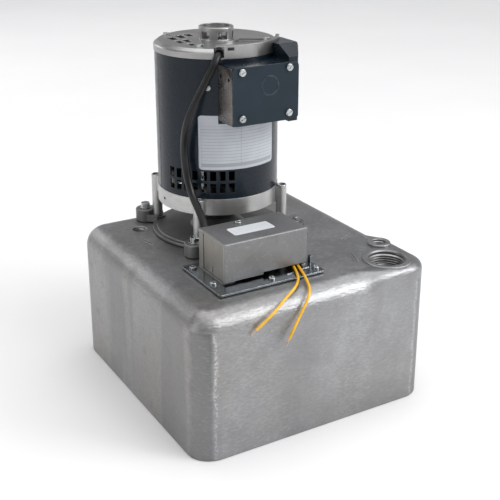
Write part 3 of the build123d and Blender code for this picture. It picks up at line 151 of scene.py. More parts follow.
# ------------------------------------------------------------------ materials
class Mat:
    def __init__(s, name, **vals):
        s.m = bpy.data.materials.new(name)
        s.m.use_nodes = True
        s.t = s.m.node_tree
        s.t.nodes.clear()
        out = s.n("ShaderNodeOutputMaterial")
        s.b = s.n("ShaderNodeBsdfPrincipled")
        s.t.links.new(s.b.outputs[0], out.inputs[0])
        for k, v in vals.items():
            s.b.inputs[k.replace("_", " ")].default_value = v
        s.tc = s.n("ShaderNodeTexCoord").outputs["Object"]

    def n(s, kind, **at):
        nd = s.t.nodes.new(kind)
        for k, v in at.items():
            setattr(nd, k, v)
        return nd

    def l(s, a, b):
        s.t.links.new(a, b)

    def map(s, scale=(1, 1, 1), rot=(0, 0, 0), loc=(0, 0, 0), vec=None):
        nd = s.n("ShaderNodeMapping")
        s.l(vec or s.tc, nd.inputs[0])
        nd.inputs["Scale"].default_value = scale
        nd.inputs["Rotation"].default_value = rot
        nd.inputs["Location"].default_value = loc
        return nd.outputs[0]

    def noise(s, scale, detail=3.0, rough=0.5, vec=None, dist=0.0):
        nd = s.n("ShaderNodeTexNoise")
        s.l(vec or s.tc, nd.inputs["Vector"])
        nd.inputs["Scale"].default_value = scale
        nd.inputs["Detail"].default_value = detail
        nd.inputs["Roughness"].default_value = rough
        nd.inputs["Distortion"].default_value = dist
        return nd.outputs["Fac"]

    def vor(s, scale, vec=None, feature="F1", rand=1.0):
        nd = s.n("ShaderNodeTexVoronoi", feature=feature)
        s.l(vec or s.tc, nd.inputs["Vector"])
        nd.inputs["Scale"].default_value = scale
        nd.inputs["Randomness"].default_value = rand
        return nd.outputs["Distance"]

    def ramp(s, fac, stops, interp="LINEAR"):
        nd = s.n("ShaderNodeValToRGB")
        nd.color_ramp.interpolation = interp
        e = nd.color_ramp.elements
        while len(e) < len(stops):
            e.new(0.5)
        for i, (p, c) in enumerate(stops):
            e[i].position = p
            e[i].color = (c, c, c, 1) if not isinstance(c, tuple) else (*c, 1)
        s.l(fac, nd.inputs[0])
        return nd.outputs[0]

    def rng(s, fac, a, b, c, d):
        nd = s.n("ShaderNodeMapRange")
        s.l(fac, nd.inputs[0])
        for i, v in enumerate((a, b, c, d)):
            nd.inputs[i + 1].default_value = v
        return nd.outputs[0]

    def mix(s, fac, a, b, blend="MIX"):
        nd = s.n("ShaderNodeMix", data_type="RGBA", blend_type=blend)
        for sock, v in ((nd.inputs[0], fac), (nd.inputs[6], a), (nd.inputs[7], b)):
            if isinstance(v, tuple):
                sock.default_value = (*v, 1)
            elif isinstance(v, (int, float)):
                sock.default_value = v
            else:
                s.l(v, sock)
        return nd.outputs[2]

    def math(s, op, a, b=0.0, c=None):
        nd = s.n("ShaderNodeMath", operation=op)
        for i, v in enumerate((a, b) if c is None else (a, b, c)):
            if isinstance(v, (int, float)):
                nd.inputs[i].default_value = v
            else:
                s.l(v, nd.inputs[i])
        return nd.outputs[0]

    def xyz(s, vec=None):
        nd = s.n("ShaderNodeSeparateXYZ")
        s.l(vec or s.tc, nd.inputs[0])
        return nd.outputs

    def bump(s, h, strength, dist, normal=None):
        nd = s.n("ShaderNodeBump")
        nd.inputs["Strength"].default_value = strength
        nd.inputs["Distance"].default_value = dist
        s.l(h, nd.inputs["Height"])
        if normal is not None:
            s.l(normal, nd.inputs["Normal"])
        return nd.outputs[0]

    def bevel(s, radius):
        nd = s.n("ShaderNodeBevel", samples=4)
        nd.inputs["Radius"].default_value = radius
        geo = s.n("ShaderNodeNewGeometry")
        dot = s.n("ShaderNodeVectorMath", operation="DOT_PRODUCT")
        s.l(nd.outputs[0], dot.inputs[0])
        s.l(geo.outputs["Normal"], dot.inputs[1])
        edge = s.rng(dot.outputs["Value"], 0.995, 0.8, 0.0, 1.0)
        return nd.outputs[0], edge

    def set(s, color=None, rough=None, metal=None, normal=None):
        for k, v in (("Base Color", color), ("Roughness", rough), ("Metallic", metal), ("Normal", normal)):
            if v is not None:
                s.l(v, s.b.inputs[k])
        return s.m


def cast(name, dark, light, rough=(0.40, 0.54), grain=620.0, gs=0.35, stretch=(1, 1, 0.55), warm=None, metal=0.95, pits=0.3, edge=0.5, streaks=0.0):
    m = Mat(name, Metallic=metal)
    big = m.noise(9, 3, 0.55, dist=0.6)
    mid = m.noise(46, 4, 0.6)
    fine = m.noise(grain, 3, 0.62, vec=m.map(stretch))
    rip = m.noise(grain * 0.42, 2, 0.5, vec=m.map((stretch[0], stretch[1], stretch[2] * 1.3), loc=(3, 1, 7)))
    c = m.mix(m.ramp(big, [(0.33, 0.0), (0.66, 1.0)]), dark, light)
    if warm:
        c = m.mix(m.ramp(m.noise(6.5, 2, 0.5, vec=m.map(loc=(4, 9, 2))), [(0.42, 0.0), (0.62, 0.8)]), c, warm)
    c = m.mix(m.ramp(mid, [(0.3, 0.35), (0.7, 0.0)]), c, tuple(v * 0.72 for v in dark))
    # besides the streaks, this block paints shade and a highlight onto the rounded vertical corners of the walls
    if streaks:
        x, y, z = m.xyz()
        wall = m.rng(x, -0.146, -0.132, 0.8, 0.0)
        c2 = m.mix(m.rng(x, -0.140, -0.100, 0.62, 0.12), c, tuple(v * 0.60 for v in dark))
        nn = m.xyz(m.n("ShaderNodeTexCoord").outputs["Normal"])
        ax = m.math("ADD", m.math("ABSOLUTE", nn[0]), m.rng(m.noise(60, 3, 0.6), 0.3, 0.7, -0.05, 0.05))
        low = m.math("LESS_THAN", z, 0.1475)
        # painted shade: a darker band across each rounded vertical corner of the walls, picked out by the surface
        # normal, below the top fillet
        band = m.math("MULTIPLY", m.math("MULTIPLY", m.rng(ax, 0.30, 0.42, 0.0, 1.0), m.rng(ax, 0.90, 0.985, 1.0, 0.0)), low)
        c = m.mix(m.math("MULTIPLY", band, 0.85), c, tuple(v * 0.46 for v in dark))
        # painted highlight: a bright stippled line near the front end of each rounded corner
        stippled_highlight = m.math("MULTIPLY", m.math("MULTIPLY", m.rng(ax, 0.14, 0.22, 0.0, 1.0), m.rng(ax, 0.27, 0.33, 1.0, 0.0)), low)
        c = m.mix(m.math("MULTIPLY", stippled_highlight, m.rng(m.noise(420, 2, 0.6), 0.42, 0.6, 0.0, 0.75)), c, (0.72, 0.72, 0.73))
        stroke = m.noise(400, 2, 0.55, vec=m.map((0.45, 0.45, 1.5), rot=(0.5, 0.75, 0)), dist=0.3)
        c = m.mix(m.ramp(stroke, [(0.50, 0.0), (0.68, 0.20)]), c, tuple(min(1, v * 1.32) for v in light))
        c = m.mix(m.ramp(stroke, [(0.32, 0.18), (0.48, 0.0)]), c, tuple(v * 0.72 for v in dark))
        c = m.mix(m.math("MULTIPLY", wall, 0.35), c, (0.355, 0.34, 0.315))
        c = m.mix(m.ramp(m.noise(17, 2, 0.5, vec=m.map((1, 1, 0.10), loc=(2, 5, 1)), dist=0.25), [(0.50, 0.0), (0.56, streaks), (0.66, streaks), (0.74, 0.0)]), c, c2)
    c = m.mix(m.ramp(fine, [(0.38, 0.22), (0.62, 0.0)]), c, tuple(v * 0.6 for v in dark))
    bn, ed = m.bevel(0.0007)
    c = m.mix(m.math("MULTIPLY", ed, edge), c, tuple(min(1, v * 1.35) for v in light))
    r = m.rng(m.mix(0.5, mid, fine), 0.3, 0.7, rough[0], rough[1])
    b = m.bump(fine, gs, 0.00028, bn)
    b = m.bump(rip, gs * 0.9, 0.00055, b)
    b = m.bump(m.noise(34, 2, 0.5), 0.10, 0.004, b)
    if pits:
        b = m.bump(m.ramp(m.vor(330), [(0.0, 0.0), (0.12, 1.0)]), pits * 0.3, 0.0002, b)
    return m.set(c, r, None, b)


def steel(name, dark, light, rough=(0.24, 0.38), streak=(1, 1, 0.05), sc=900, metal=1.0, edge=0.6, bev=0.0006, spangle=0.0, bs=0.16):
    m = Mat(name, Metallic=metal)
    st = m.noise(sc, 3, 0.6, vec=m.map(streak))
    cl = m.noise(38, 4, 0.6, dist=0.4)
    sm = m.noise(170, 3, 0.6, vec=m.map(loc=(1, 5, 2)))
    c = m.mix(m.ramp(cl, [(0.3, 0.0), (0.7, 1.0)]), dark, light)
    c = m.mix(m.ramp(st, [(0.35, 0.35), (0.65, 0.0)]), c, tuple(v * 0.78 for v in dark))
    if spangle:
        nd = m.n("ShaderNodeTexVoronoi")
        m.l(m.tc, nd.inputs["Vector"])
        nd.inputs["Scale"].default_value = 130
        cell = m.xyz(nd.outputs["Color"])[0]
        c = m.mix(m.rng(cell, 0, 1, 0.0, spangle), c, tuple(min(1, v * 1.25) for v in light))
    bn, ed = m.bevel(bev)
    c = m.mix(m.math("MULTIPLY", ed, edge), c, tuple(min(1, v * 1.5) for v in light))
    r = m.rng(m.mix(0.45, cl, sm), 0.32, 0.68, rough[0], rough[1])
    b = m.bump(st, bs, 0.00012, bn)
    b = m.bump(sm, 0.08, 0.0003, b)
    return m.set(c, r, None, b)


def enamel(name, base, rough=(0.26, 0.36), coat=0.5, coat_rough=0.09, peel=0.10, edge=0.35, edge_col=(0.20, 0.22, 0.24), spec=0.5):
    m = Mat(name, Metallic=0.0, Coat_Weight=coat, Coat_Roughness=coat_rough, Specular_IOR_Level=spec)
    cl = m.noise(26, 3, 0.5)
    dust = m.noise(1400, 2, 0.5)
    c = m.mix(m.ramp(cl, [(0.35, 0.0), (0.65, 1.0)]), tuple(v * 0.82 for v in base), tuple(v * 1.16 for v in base))
    c = m.mix(m.ramp(dust, [(0.70, 0.0), (0.78, 0.2)]), c, (0.12, 0.13, 0.14))
    bn, ed = m.bevel(0.0006)
    wear = m.math("MULTIPLY", ed, m.rng(m.noise(190, 3, 0.6), 0.35, 0.7, 0.15, 1.0))
    c = m.mix(m.math("MULTIPLY", wear, edge), c, edge_col)
    r = m.rng(m.noise(70, 3, 0.6), 0.3, 0.7, rough[0], rough[1])
    b = m.bump(m.noise(680, 2, 0.4), peel, 0.00025, bn)
    b = m.bump(m.noise(30, 1, 0.4), 0.05, 0.002, b)
    for k in ("Normal", "Coat Normal"):
        m.l(b, m.b.inputs[k])
    return m.set(c, r)


def plastic(name, base, rough=(0.35, 0.5), bumps=0.12, sc=520, coat=0.0, edge=0.25, sss=0.0):
    m = Mat(name, Metallic=0.0, Coat_Weight=coat, Coat_Roughness=0.12)
    cl = m.noise(60, 4, 0.6)
    c = m.mix(m.ramp(cl, [(0.3, 0.0), (0.7, 1.0)]), tuple(v * 0.82 for v in base), tuple(min(1, v * 1.14) for v in base))
    bn, ed = m.bevel(0.0004)
    c = m.mix(m.math("MULTIPLY", ed, edge), c, tuple(min(1, v * 1.5 + 0.03) for v in base))
    r = m.rng(m.noise(240, 3, 0.6), 0.3, 0.7, rough[0], rough[1])
    b = m.bump(m.noise(sc, 3, 0.55), bumps, 0.0002, bn)
    return m.set(c, r, None, b)


MATS = {
    "cast_tank": cast("cast_tank", (0.30, 0.303, 0.309), (0.43, 0.434, 0.442), (0.37, 0.48), grain=430, gs=1.0, stretch=(0.75, 0.75, 1.5), warm=(0.345, 0.335, 0.32), streaks=0.5),
    "cast_base": cast("cast_base", (0.17, 0.168, 0.165), (0.27, 0.267, 0.262), (0.42, 0.56), grain=620, gs=0.6, stretch=(1, 1, 1)),
    "cast_bell": cast("cast_bell", (0.34, 0.338, 0.334), (0.46, 0.457, 0.452), (0.28, 0.40), grain=1100, gs=0.25, stretch=(1, 1, 1), pits=0.15, edge=0.8),
    "plate_aluminium": steel("plate_aluminium", (0.46, 0.46, 0.46), (0.60, 0.60, 0.60), (0.3, 0.42), streak=(0.04, 1, 1)),
    "galvanised": steel("galvanised", (0.20, 0.22, 0.245), (0.32, 0.345, 0.37), (0.15, 0.27), streak=(0.08, 1, 1), sc=700, spangle=0.35, bs=0.08),
    "core_steel": steel("core_steel", (0.20, 0.205, 0.21), (0.32, 0.325, 0.33), (0.4, 0.55), streak=(0.02, 0.02, 1), sc=1600, bs=0.6),
    "shaft_steel": steel("shaft_steel", (0.50, 0.50, 0.51), (0.68, 0.68, 0.69), (0.16, 0.26), streak=(0.2, 0.2, 1), sc=1500),
    "zinc": steel("zinc", (0.36, 0.385, 0.385), (0.56, 0.58, 0.58), (0.18, 0.30), streak=(1, 1, 0.3), sc=1300, bev=0.0004, edge=0.8, bs=0.06),
    "cover_enamel": enamel("cover_enamel", (0.0095, 0.0205, 0.0325), (0.38, 0.5), coat=0.05, coat_rough=0.2, peel=0.14, edge=0.8, edge_col=(0.36, 0.40, 0.44), spec=0.25),
    "black_plastic": plastic("black_plastic", (0.014, 0.014, 0.016)),
    "board_plastic": plastic("board_plastic", (0.20, 0.085, 0.04)),
    "pump_plastic": plastic("pump_plastic", (0.03, 0.03, 0.033)),
    "impeller_plastic": plastic("impeller_plastic", (0.17, 0.155, 0.13)),
    "float_plastic": plastic("float_plastic", (0.62, 0.60, 0.53), (0.22, 0.32), coat=0.3),
    "black_rubber": plastic("black_rubber", (0.014, 0.014, 0.014), (0.5, 0.68), bumps=0.2),
    "gasket_rubber": plastic("gasket_rubber", (0.010, 0.010, 0.011), (0.5, 0.7), bumps=0.25),
    "bush_plastic": plastic("bush_plastic", (0.66, 0.65, 0.60), (0.3, 0.42)),
    "bronze": steel("bronze", (0.34, 0.20, 0.075), (0.52, 0.33, 0.14), (0.32, 0.44), streak=(1, 1, 1)),
    "copper_pipe": steel("copper_pipe", (0.45, 0.19, 0.10), (0.68, 0.33, 0.19), (0.22, 0.36), streak=(1, 1, 0.1)),
    "winding_copper": steel("winding_copper", (0.28, 0.10, 0.04), (0.50, 0.21, 0.09), (0.22, 0.34), streak=(0.1, 0.1, 1), sc=900, bs=0.9),
    "bare_copper": steel("bare_copper", (0.62, 0.36, 0.27), (0.86, 0.60, 0.49), (0.22, 0.34), streak=(1, 1, 1), sc=2500),
}


# turned and cast ring with posts
def ring_mat():
    m = Mat("cast_bracket", Metallic=0.95)
    lines = m.noise(900, 3, 0.6, vec=m.map((0.03, 0.03, 1)))
    cl = m.noise(30, 4, 0.6, dist=0.5)
    fine = m.noise(900, 3, 0.6)
    c = m.mix(m.ramp(cl, [(0.3, 0.0), (0.7, 1.0)]), (0.46, 0.46, 0.455), (0.60, 0.597, 0.588))
    c = m.mix(m.ramp(lines, [(0.4, 0.22), (0.6, 0.0)]), c, (0.40, 0.40, 0.39))
    c = m.mix(m.ramp(m.noise(120, 4, 0.65), [(0.56, 0.0), (0.72, 0.4)]), c, (0.36, 0.355, 0.345))
    x, y, z = m.xyz()
    # painted shade: the inside of the ring, within about 65 mm of the motor axis and above z 200 mm, darkened almost to
    # black
    rr = m.math("SQRT", m.math("ADD", m.math("POWER", m.math("SUBTRACT", x, MX), 2.0), m.math("POWER", m.math("SUBTRACT", y, MY), 2.0)))
    dark = m.math("MULTIPLY", m.rng(rr, 0.0652, 0.0664, 1.0, 0.0), m.math("GREATER_THAN", z, 0.2))
    c = m.mix(m.math("MULTIPLY", dark, 0.93), c, (0.02, 0.02, 0.02))
    bn, ed = m.bevel(0.0006)
    c = m.mix(m.math("MULTIPLY", ed, 0.6), c, (0.86, 0.86, 0.85))
    r = m.rng(m.mix(0.5, cl, fine), 0.32, 0.68, 0.34, 0.48)
    b = m.bump(fine, 0.22, 0.0002, bn)
    b = m.bump(lines, 0.18, 0.00012, b)
    return m.set(c, r, None, b)


MATS["cast_bracket"] = ring_mat()


# gloss enamel of the shell, and of the box with its bare plated side
def motor_enamel():
    m = Mat("motor_enamel", Coat_Weight=0.10, Coat_Roughness=0.07, Specular_IOR_Level=0.22)
    x, y, z = m.xyz()
    geo = m.n("ShaderNodeTexCoord")
    nx = m.xyz(geo.outputs["Normal"])[0]
    side = m.math("MULTIPLY", m.math("LESS_THAN", x, -0.0366), m.math("LESS_THAN", nx, -0.9))
    side = m.math("MULTIPLY", side, m.math("GREATER_THAN", x, -0.0386))
    side = m.math("MULTIPLY", side, m.math("LESS_THAN", y, -0.004))
    cl = m.noise(22, 3, 0.5)
    c = m.mix(m.ramp(cl, [(0.35, 0.0), (0.65, 1.0)]), (0.0065, 0.0115, 0.0185), (0.0085, 0.0150, 0.0235))
    c = m.mix(m.ramp(m.noise(1500, 2, 0.5), [(0.72, 0.0), (0.80, 0.10)]), c, (0.08, 0.09, 0.10))
    bn, ed = m.bevel(0.0006)
    c = m.mix(m.math("MULTIPLY", m.math("MULTIPLY", ed, m.rng(m.noise(160, 3, 0.6), 0.35, 0.7, 0.1, 1.0)), 0.4), c, (0.30, 0.33, 0.36))
    bare = m.mix(m.ramp(m.noise(60, 4, 0.6, dist=0.5), [(0.3, 0.0), (0.7, 1.0)]), (0.17, 0.155, 0.142), (0.25, 0.235, 0.22))
    bare = m.mix(m.ramp(m.noise(500, 3, 0.6, vec=m.map((1, 1, 0.08))), [(0.35, 0.4), (0.65, 0.0)]), bare, (0.12, 0.108, 0.098))
    c = m.mix(side, c, bare)
    r = m.rng(m.noise(70, 3, 0.6), 0.3, 0.7, 0.22, 0.32)
    b = m.bump(m.noise(620, 2, 0.4), 0.025, 0.0002, bn)
    b = m.bump(m.noise(26, 1, 0.4), 0.010, 0.002, b)
    m.l(b, m.b.inputs["Normal"])
    m.l(b, m.b.inputs["Coat Normal"])
    m.l(m.math("MULTIPLY", side, 0.85), m.b.inputs["Metallic"])
    return m.set(c, r)


MATS["motor_enamel"] = motor_enamel()


# galvanised cover: grained sheet, warmer on its short side
def cover_steel():
    m = Mat("cover_steel", Metallic=0.72)
    nrm = m.xyz(m.n("ShaderNodeTexCoord").outputs["Normal"])
    st = m.noise(760, 4, 0.62, vec=m.map((1, 1, 0.22)))
    cl = m.noise(34, 4, 0.62, dist=0.5)
    sp = m.noise(420, 2, 0.5, vec=m.map(loc=(2, 3, 1)))
    c = m.mix(m.ramp(cl, [(0.28, 0.0), (0.72, 1.0)]), (0.20, 0.202, 0.205), (0.275, 0.277, 0.28))
    c = m.mix(m.ramp(st, [(0.36, 0.35), (0.64, 0.0)]), c, (0.19, 0.19, 0.19))
    c = m.mix(m.ramp(sp, [(0.58, 0.0), (0.74, 0.4)]), c, (0.40, 0.40, 0.40))
    warm = m.math("MULTIPLY", m.math("LESS_THAN", nrm[0], -0.8), 0.75)
    c = m.mix(warm, c, m.mix(m.ramp(m.noise(26, 3, 0.6), [(0.35, 0.0), (0.65, 1.0)]), (0.27, 0.25, 0.215), (0.35, 0.33, 0.295)))
    bn, ed = m.bevel(0.0009)
    c = m.mix(m.math("MULTIPLY", ed, 0.75), c, (0.93, 0.93, 0.93))
    r = m.rng(m.mix(0.5, cl, sp), 0.32, 0.68, 0.42, 0.52)
    b = m.bump(st, 0.30, 0.00015, bn)
    b = m.bump(m.noise(40, 1, 0.4), 0.03, 0.0009, b)
    return m.set(c, r, None, b)


MATS["cover_steel"] = cover_steel()


# bare foil plate with a plain ruled table
def ruled(name, u, v, u0, u1, v0, v1, rows, cols, paper, ink, rough, metal=0.0, band=None):
    """u and v are functions of the material returning sockets in metres; rules lie inside u0..u1, v0..v1."""
    m = Mat(name, Metallic=metal, Coat_Weight=0.25, Coat_Roughness=0.15)
    us, vs = u(m), v(m)
    inside = m.math("MULTIPLY", m.math("GREATER_THAN", us, u0), m.math("LESS_THAN", us, u1))
    inside = m.math("MULTIPLY", inside, m.math("MULTIPLY", m.math("GREATER_THAN", vs, v0), m.math("LESS_THAN", vs, v1)))
    total = None
    for s, a, b, n, w in ((vs, v0, v1, rows, 0.00016), (us, u0, u1, cols, 0.00016)):
        step = (b - a) / n
        fr = m.math("FRACT", m.math("ADD", m.math("DIVIDE", m.math("SUBTRACT", s, a), step), 0.5))
        near = m.math("LESS_THAN", m.math("ABSOLUTE", m.math("SUBTRACT", fr, 0.5)), w / step)
        total = near if total is None else m.math("MAXIMUM", total, near)
    ink_on = m.math("MULTIPLY", total, inside)
    cl = m.noise(45, 4, 0.6)
    c = m.mix(m.ramp(cl, [(0.3, 0.0), (0.7, 1.0)]), tuple(x * 0.88 for x in paper), paper)
    if band:
        b0, b1, tint = band
        on = m.math("MULTIPLY", m.math("GREATER_THAN", vs, b0), m.math("LESS_THAN", vs, b1))
        on = m.math("MULTIPLY", on, m.math("MULTIPLY", m.math("GREATER_THAN", us, u0), m.math("LESS_THAN", us, u1)))
        c = m.mix(m.math("MULTIPLY", on, 0.9), c, tint)
    c = m.mix(m.math("MULTIPLY", ink_on, m.rng(m.noise(900, 2, 0.5), 0.3, 0.7, 0.55, 0.85)), c, ink)
    c = m.mix(m.ramp(m.noise(700, 3, 0.6), [(0.64, 0.0), (0.76, 0.25)]), c, tuple(x * 0.7 for x in paper))
    r = m.rng(m.noise(160, 3, 0.6), 0.3, 0.7, rough[0], rough[1])
    b = m.bump(m.noise(900, 3, 0.5), 0.08, 0.0001)
    b = m.bump(m.noise(70, 2, 0.5), 0.08, 0.0006, b)
    return m.set(c, r, None, b)


def arc_len(m):
    x, y, z = m.xyz()
    an = m.math("ARCTAN2", m.math("SUBTRACT", y, MY), m.math("SUBTRACT", x, MX))
    return m.math("MULTIPLY", m.math("SUBTRACT", an, radians(263.5 - 360.0)), 0.0713)


MATS["label_foil"] = ruled("label_foil", arc_len, lambda m: m.xyz()[2], -0.0455, 0.0455, 0.2635, 0.3105, 13, 2,
                           (0.50, 0.53, 0.575), (0.10, 0.11, 0.13), (0.36, 0.48), metal=0.15, band=(0.2635, 0.26711, (0.30, 0.32, 0.35)))
MATS["label_paper"] = ruled("label_paper", lambda m: m.xyz()[0], lambda m: m.xyz()[1], -0.0595, -0.0165, -0.0805, -0.0660, 4, 1,
                            (0.74, 0.76, 0.79), (0.25, 0.27, 0.30), (0.4, 0.5))


# cord jackets
def jacket(name, base, rough, coat, sc=300, bumps=0.05, tint=None, spec=0.5):
    m = Mat(name, Coat_Weight=coat, Coat_Roughness=0.08, Specular_IOR_Level=spec)
    cl = m.noise(90, 3, 0.6)
    c = m.mix(m.ramp(cl, [(0.3, 0.0), (0.7, 1.0)]), tuple(v * 0.8 for v in base), tuple(min(1, v * 1.12) for v in base))
    if tint:
        c = m.mix(m.ramp(m.noise(260, 3, 0.6), [(0.62, 0.0), (0.78, 0.5)]), c, tint)
    r = m.rng(m.noise(220, 3, 0.6), 0.3, 0.7, rough[0], rough[1])
    b = m.bump(m.noise(sc, 3, 0.5), bumps, 0.0003)
    return m.set(c, r, None, b)


MATS["cable_black"] = jacket("cable_black", (0.006, 0.006, 0.007), (0.30, 0.42), 0.12, tint=(0.03, 0.03, 0.03), spec=0.3)
MATS["lead_yellow"] = jacket("lead_yellow", (0.88, 0.47, 0.018), (0.28, 0.38), 0.25, tint=(0.74, 0.33, 0.01))


def paint(ob, key):
    ob.data.materials.clear()
    ob.data.materials.append(MATS[key])


for ob, key in ((cable, "cable_black"), (lead_a, "lead_yellow"), (lead_b, "lead_yellow"), (tip_a, "bare_copper"), (tip_b, "bare_copper")):
    paint(ob, key)

MATS["bracket_steel"] = steel("bracket_steel", (0.25, 0.235, 0.21), (0.34, 0.325, 0.295), (0.38, 0.5), streak=(1, 1, 0.2), sc=800, metal=0.75)
for name, ob in NODES.items():
    for sl in ob.material_slots:
        if name == "switch_bracket":
            sl.material = MATS["bracket_steel"]
            continue
        base = (sl.material.name if sl.material else "").split(".")[0]
        if base in MATS:
            sl.material = MATS[base]
        else:
            print("NOSLOT", name, base)

# ------------------------------------------------------------------ threads in the ports
def thread(name, cx, cy, r, z0, z1, pitch, depth, body="pump_frame"):
    bm = bmesh.new()
    n = 72
    turns = (z1 - z0) / pitch
    steps = int(turns * n)
    prof = [(0.02, -0.46), (depth, -0.06), (depth, 0.06), (0.02, 0.46)]
    rows = []
    for k in range(steps + 1):
        a = 2 * pi * k / n
        fade = min(1.0, k / (n * 0.35), (steps - k) / (n * 0.35))
        zc = z0 + pitch * k / n
        row = []
        for d, o in prof:
            dd = 0.03 + (d - 0.03) * max(0.05, fade) if d > 0.05 else d
            row.append(bm.verts.new(((cx + (r - dd) * cos(a)) * mm, (cy + (r - dd) * sin(a)) * mm, (zc + o * pitch) * mm)))
        back = bm.verts.new(((cx + (r - 0.005) * cos(a)) * mm, (cy + (r - 0.005) * sin(a)) * mm, zc * mm))
        row.append(back)
        rows.append(row)
    for i in range(len(rows) - 1):
        for j in range(5):
            k2 = (j + 1) % 5
            bm.faces.new((rows[i][j], rows[i][k2], rows[i + 1][k2], rows[i + 1][j]))
    bm.faces.new(rows[0][::-1])
    bm.faces.new(rows[-1])
    ob = new_mesh(name, bm, smooth=False)
    return ob


def thread_mat():
    m = Mat("cut_thread", Metallic=1.0)
    cl = m.noise(160, 4, 0.6)
    c = m.mix(m.ramp(cl, [(0.3, 0.0), (0.7, 1.0)]), (0.30, 0.30, 0.295), (0.46, 0.455, 0.45))
    r = m.rng(m.noise(420, 3, 0.6), 0.3, 0.7, 0.34, 0.46)
    b = m.bump(m.noise(1300, 3, 0.6, vec=m.map((0.15, 0.15, 1))), 0.15, 0.0001)
    return m.set(c, r, None, b)


MATS["cut_thread"] = thread_mat()
for nm, cx, cy, r, z0, z1, pitch, dep in (("inlet_thread", 109.3, -124.0, 21.0, 148.6, 163.4, 2.9, 1.6),
                                          ("vent_thread", 128.0, -85.0, 8.0, 150.2, 166.4, 1.8, 0.9),
                                          ("discharge_thread", -92.4, 100.0, 8.0, 150.8, 163.6, 1.8, 0.9)):
    t = thread(nm, cx, cy, r, z0, z1, pitch, dep)
    paint(t, "cut_thread")

# cast pad that carries the flat top out to the corner around the inlet and the vent
def corner_pad():
    H, R0 = 165.0, 23.0
    path = []
    for i in range(37):
        y = -38.0 - 90.5 * i / 36
        path.append(((148.5, y), (-1.0, 0.0), min(1.0, max(0.0, (-46.0 - y) / 26.0))))
    for i in range(1, 25):
        a = -pi / 2 * i / 24
        path.append(((120.5 + 28 * cos(a), -128.5 + 28 * sin(a)), (-cos(a), -sin(a)), 1.0))
    for i in range(1, 31):
        x = 120.5 - 72.0 * i / 30
        path.append(((x, -156.5), (0.0, 1.0), min(1.0, max(0.0, (x - 56.0) / 34.0))))
    bm = bmesh.new()
    rings = []
    for (px, py), (nx, ny), w in path:
        w = w * w * (3 - 2 * w)
        r = 23.35 - (23.35 - 9.5) * w
        prof = [(0.8, H - R0 - 3.0), (0.35 * (1 - w) + 0.0, H - R0 - 0.3)]
        z1 = H - r
        prof.append((0.02 if w > 0.02 else 0.3, max(H - R0 + 0.4, z1)))
        for k in range(1, 13):
            t = pi / 2 * k / 12
            prof.append((r - r * cos(t), z1 + r * sin(t) - (0.0 if w > 0.02 else 0.15)))
        prof.append((R0 + 0.2 + 0.3, H - (0.0 if w > 0.02 else 0.15)))
        prof.append((R0 + 2.0, H - 0.9))
        for k in range(6, -1, -1):
            t = pi / 2 * k / 6
            prof.append((R0 - (R0 - 1.6) * cos(t), H - R0 + (R0 - 1.6) * sin(t)))
        rings.append([((px + nx * d) * mm, (py + ny * d) * mm, z * mm) for d, z in prof])
    ring_strip(bm, [[Vector(p) for p in r] for r in rings], caps=True)
    ob = new_mesh("tank_corner_pad", bm)
    for cx, cy, rad in ((109.3, -124.0, 23.0), (128.0, -85.0, 9.6)):
        cb = bmesh.new()
        bmesh.ops.create_cone(cb, cap_ends=True, segments=96, radius1=rad * mm, radius2=rad * mm, depth=0.08,
                              matrix=Matrix.Translation((cx * mm, cy * mm, 0.155)))
        cm = bpy.data.meshes.new("cutter")
        cb.to_mesh(cm)
        cb.free()
        co = bpy.data.objects.new("cutter", cm)
        scene.collection.objects.link(co)
        md = ob.modifiers.new("cut", "BOOLEAN")
        md.operation, md.solver, md.object = "DIFFERENCE", "EXACT", co
        dg = bpy.context.evaluated_depsgraph_get()
        dg.update()
        me = bpy.data.meshes.new_from_object(ob.evaluated_get(dg))
        ob.modifiers.remove(md)
        ob.data = me
        bpy.data.objects.remove(co)
        bpy.data.meshes.remove(cm)
    for p in ob.data.polygons:
        p.use_smooth = True
    ob.data.set_sharp_from_angle(angle=radians(35))
    return ob


paint(corner_pad(), "cast_tank")


# plain raised bars cast on the tank top beside the ports
def cast_bars(name, bars, z=165.0):
    bm = bmesh.new()
    for x0, y0, x1, y1, w, h in bars:
        a, b = Vector((x0, y0, 0)), Vector((x1, y1, 0))
        d = (b - a).normalized()
        t = Vector((-d.y, d.x, 0))
        rings = []
        for zz, k in ((-0.15, 1.0), (0.15, 1.0), (0.75, 0.82), (1.0, 0.55)):
            r = w / 2 * k
            ring = []
            for q in range(12):
                an = -pi / 2 + pi * q / 11
                ring.append((b + (d * cos(an) + t * sin(an)) * r + Vector((0, 0, z + h * zz))) * mm)
            for q in range(12):
                an = pi / 2 + pi * q / 11
                ring.append((a + (d * cos(an) + t * sin(an)) * r + Vector((0, 0, z + h * zz))) * mm)
            rings.append(ring)
        ring_strip(bm, rings, caps=True)
    return new_mesh(name, bm)


for nm, bars in (("cast_bars_discharge", [(-105.2, 68.5, -100.6, 46.5, 2.2, 0.55), (-101.2, 70.0, -97.0, 50.0, 1.3, 0.45)]),
                 ("cast_bars_vent", [(100.5, -48.5, 117.5, -41.5, 2.2, 0.55), (102.5, -52.5, 114.0, -47.8, 1.3, 0.45)]),
                 ("cast_bars_inlet", [(84.5, -92.0, 77.5, -113.0, 2.2, 0.55), (80.0, -94.5, 74.5, -111.0, 1.3, 0.45)]),
                 ("cast_bars_rear", [(84.0, 50.0, 96.5, 62.5, 2.2, 0.55), (88.0, 47.0, 99.0, 58.0, 1.3, 0.45)])):
    paint(cast_bars(nm, bars), "cast_tank")
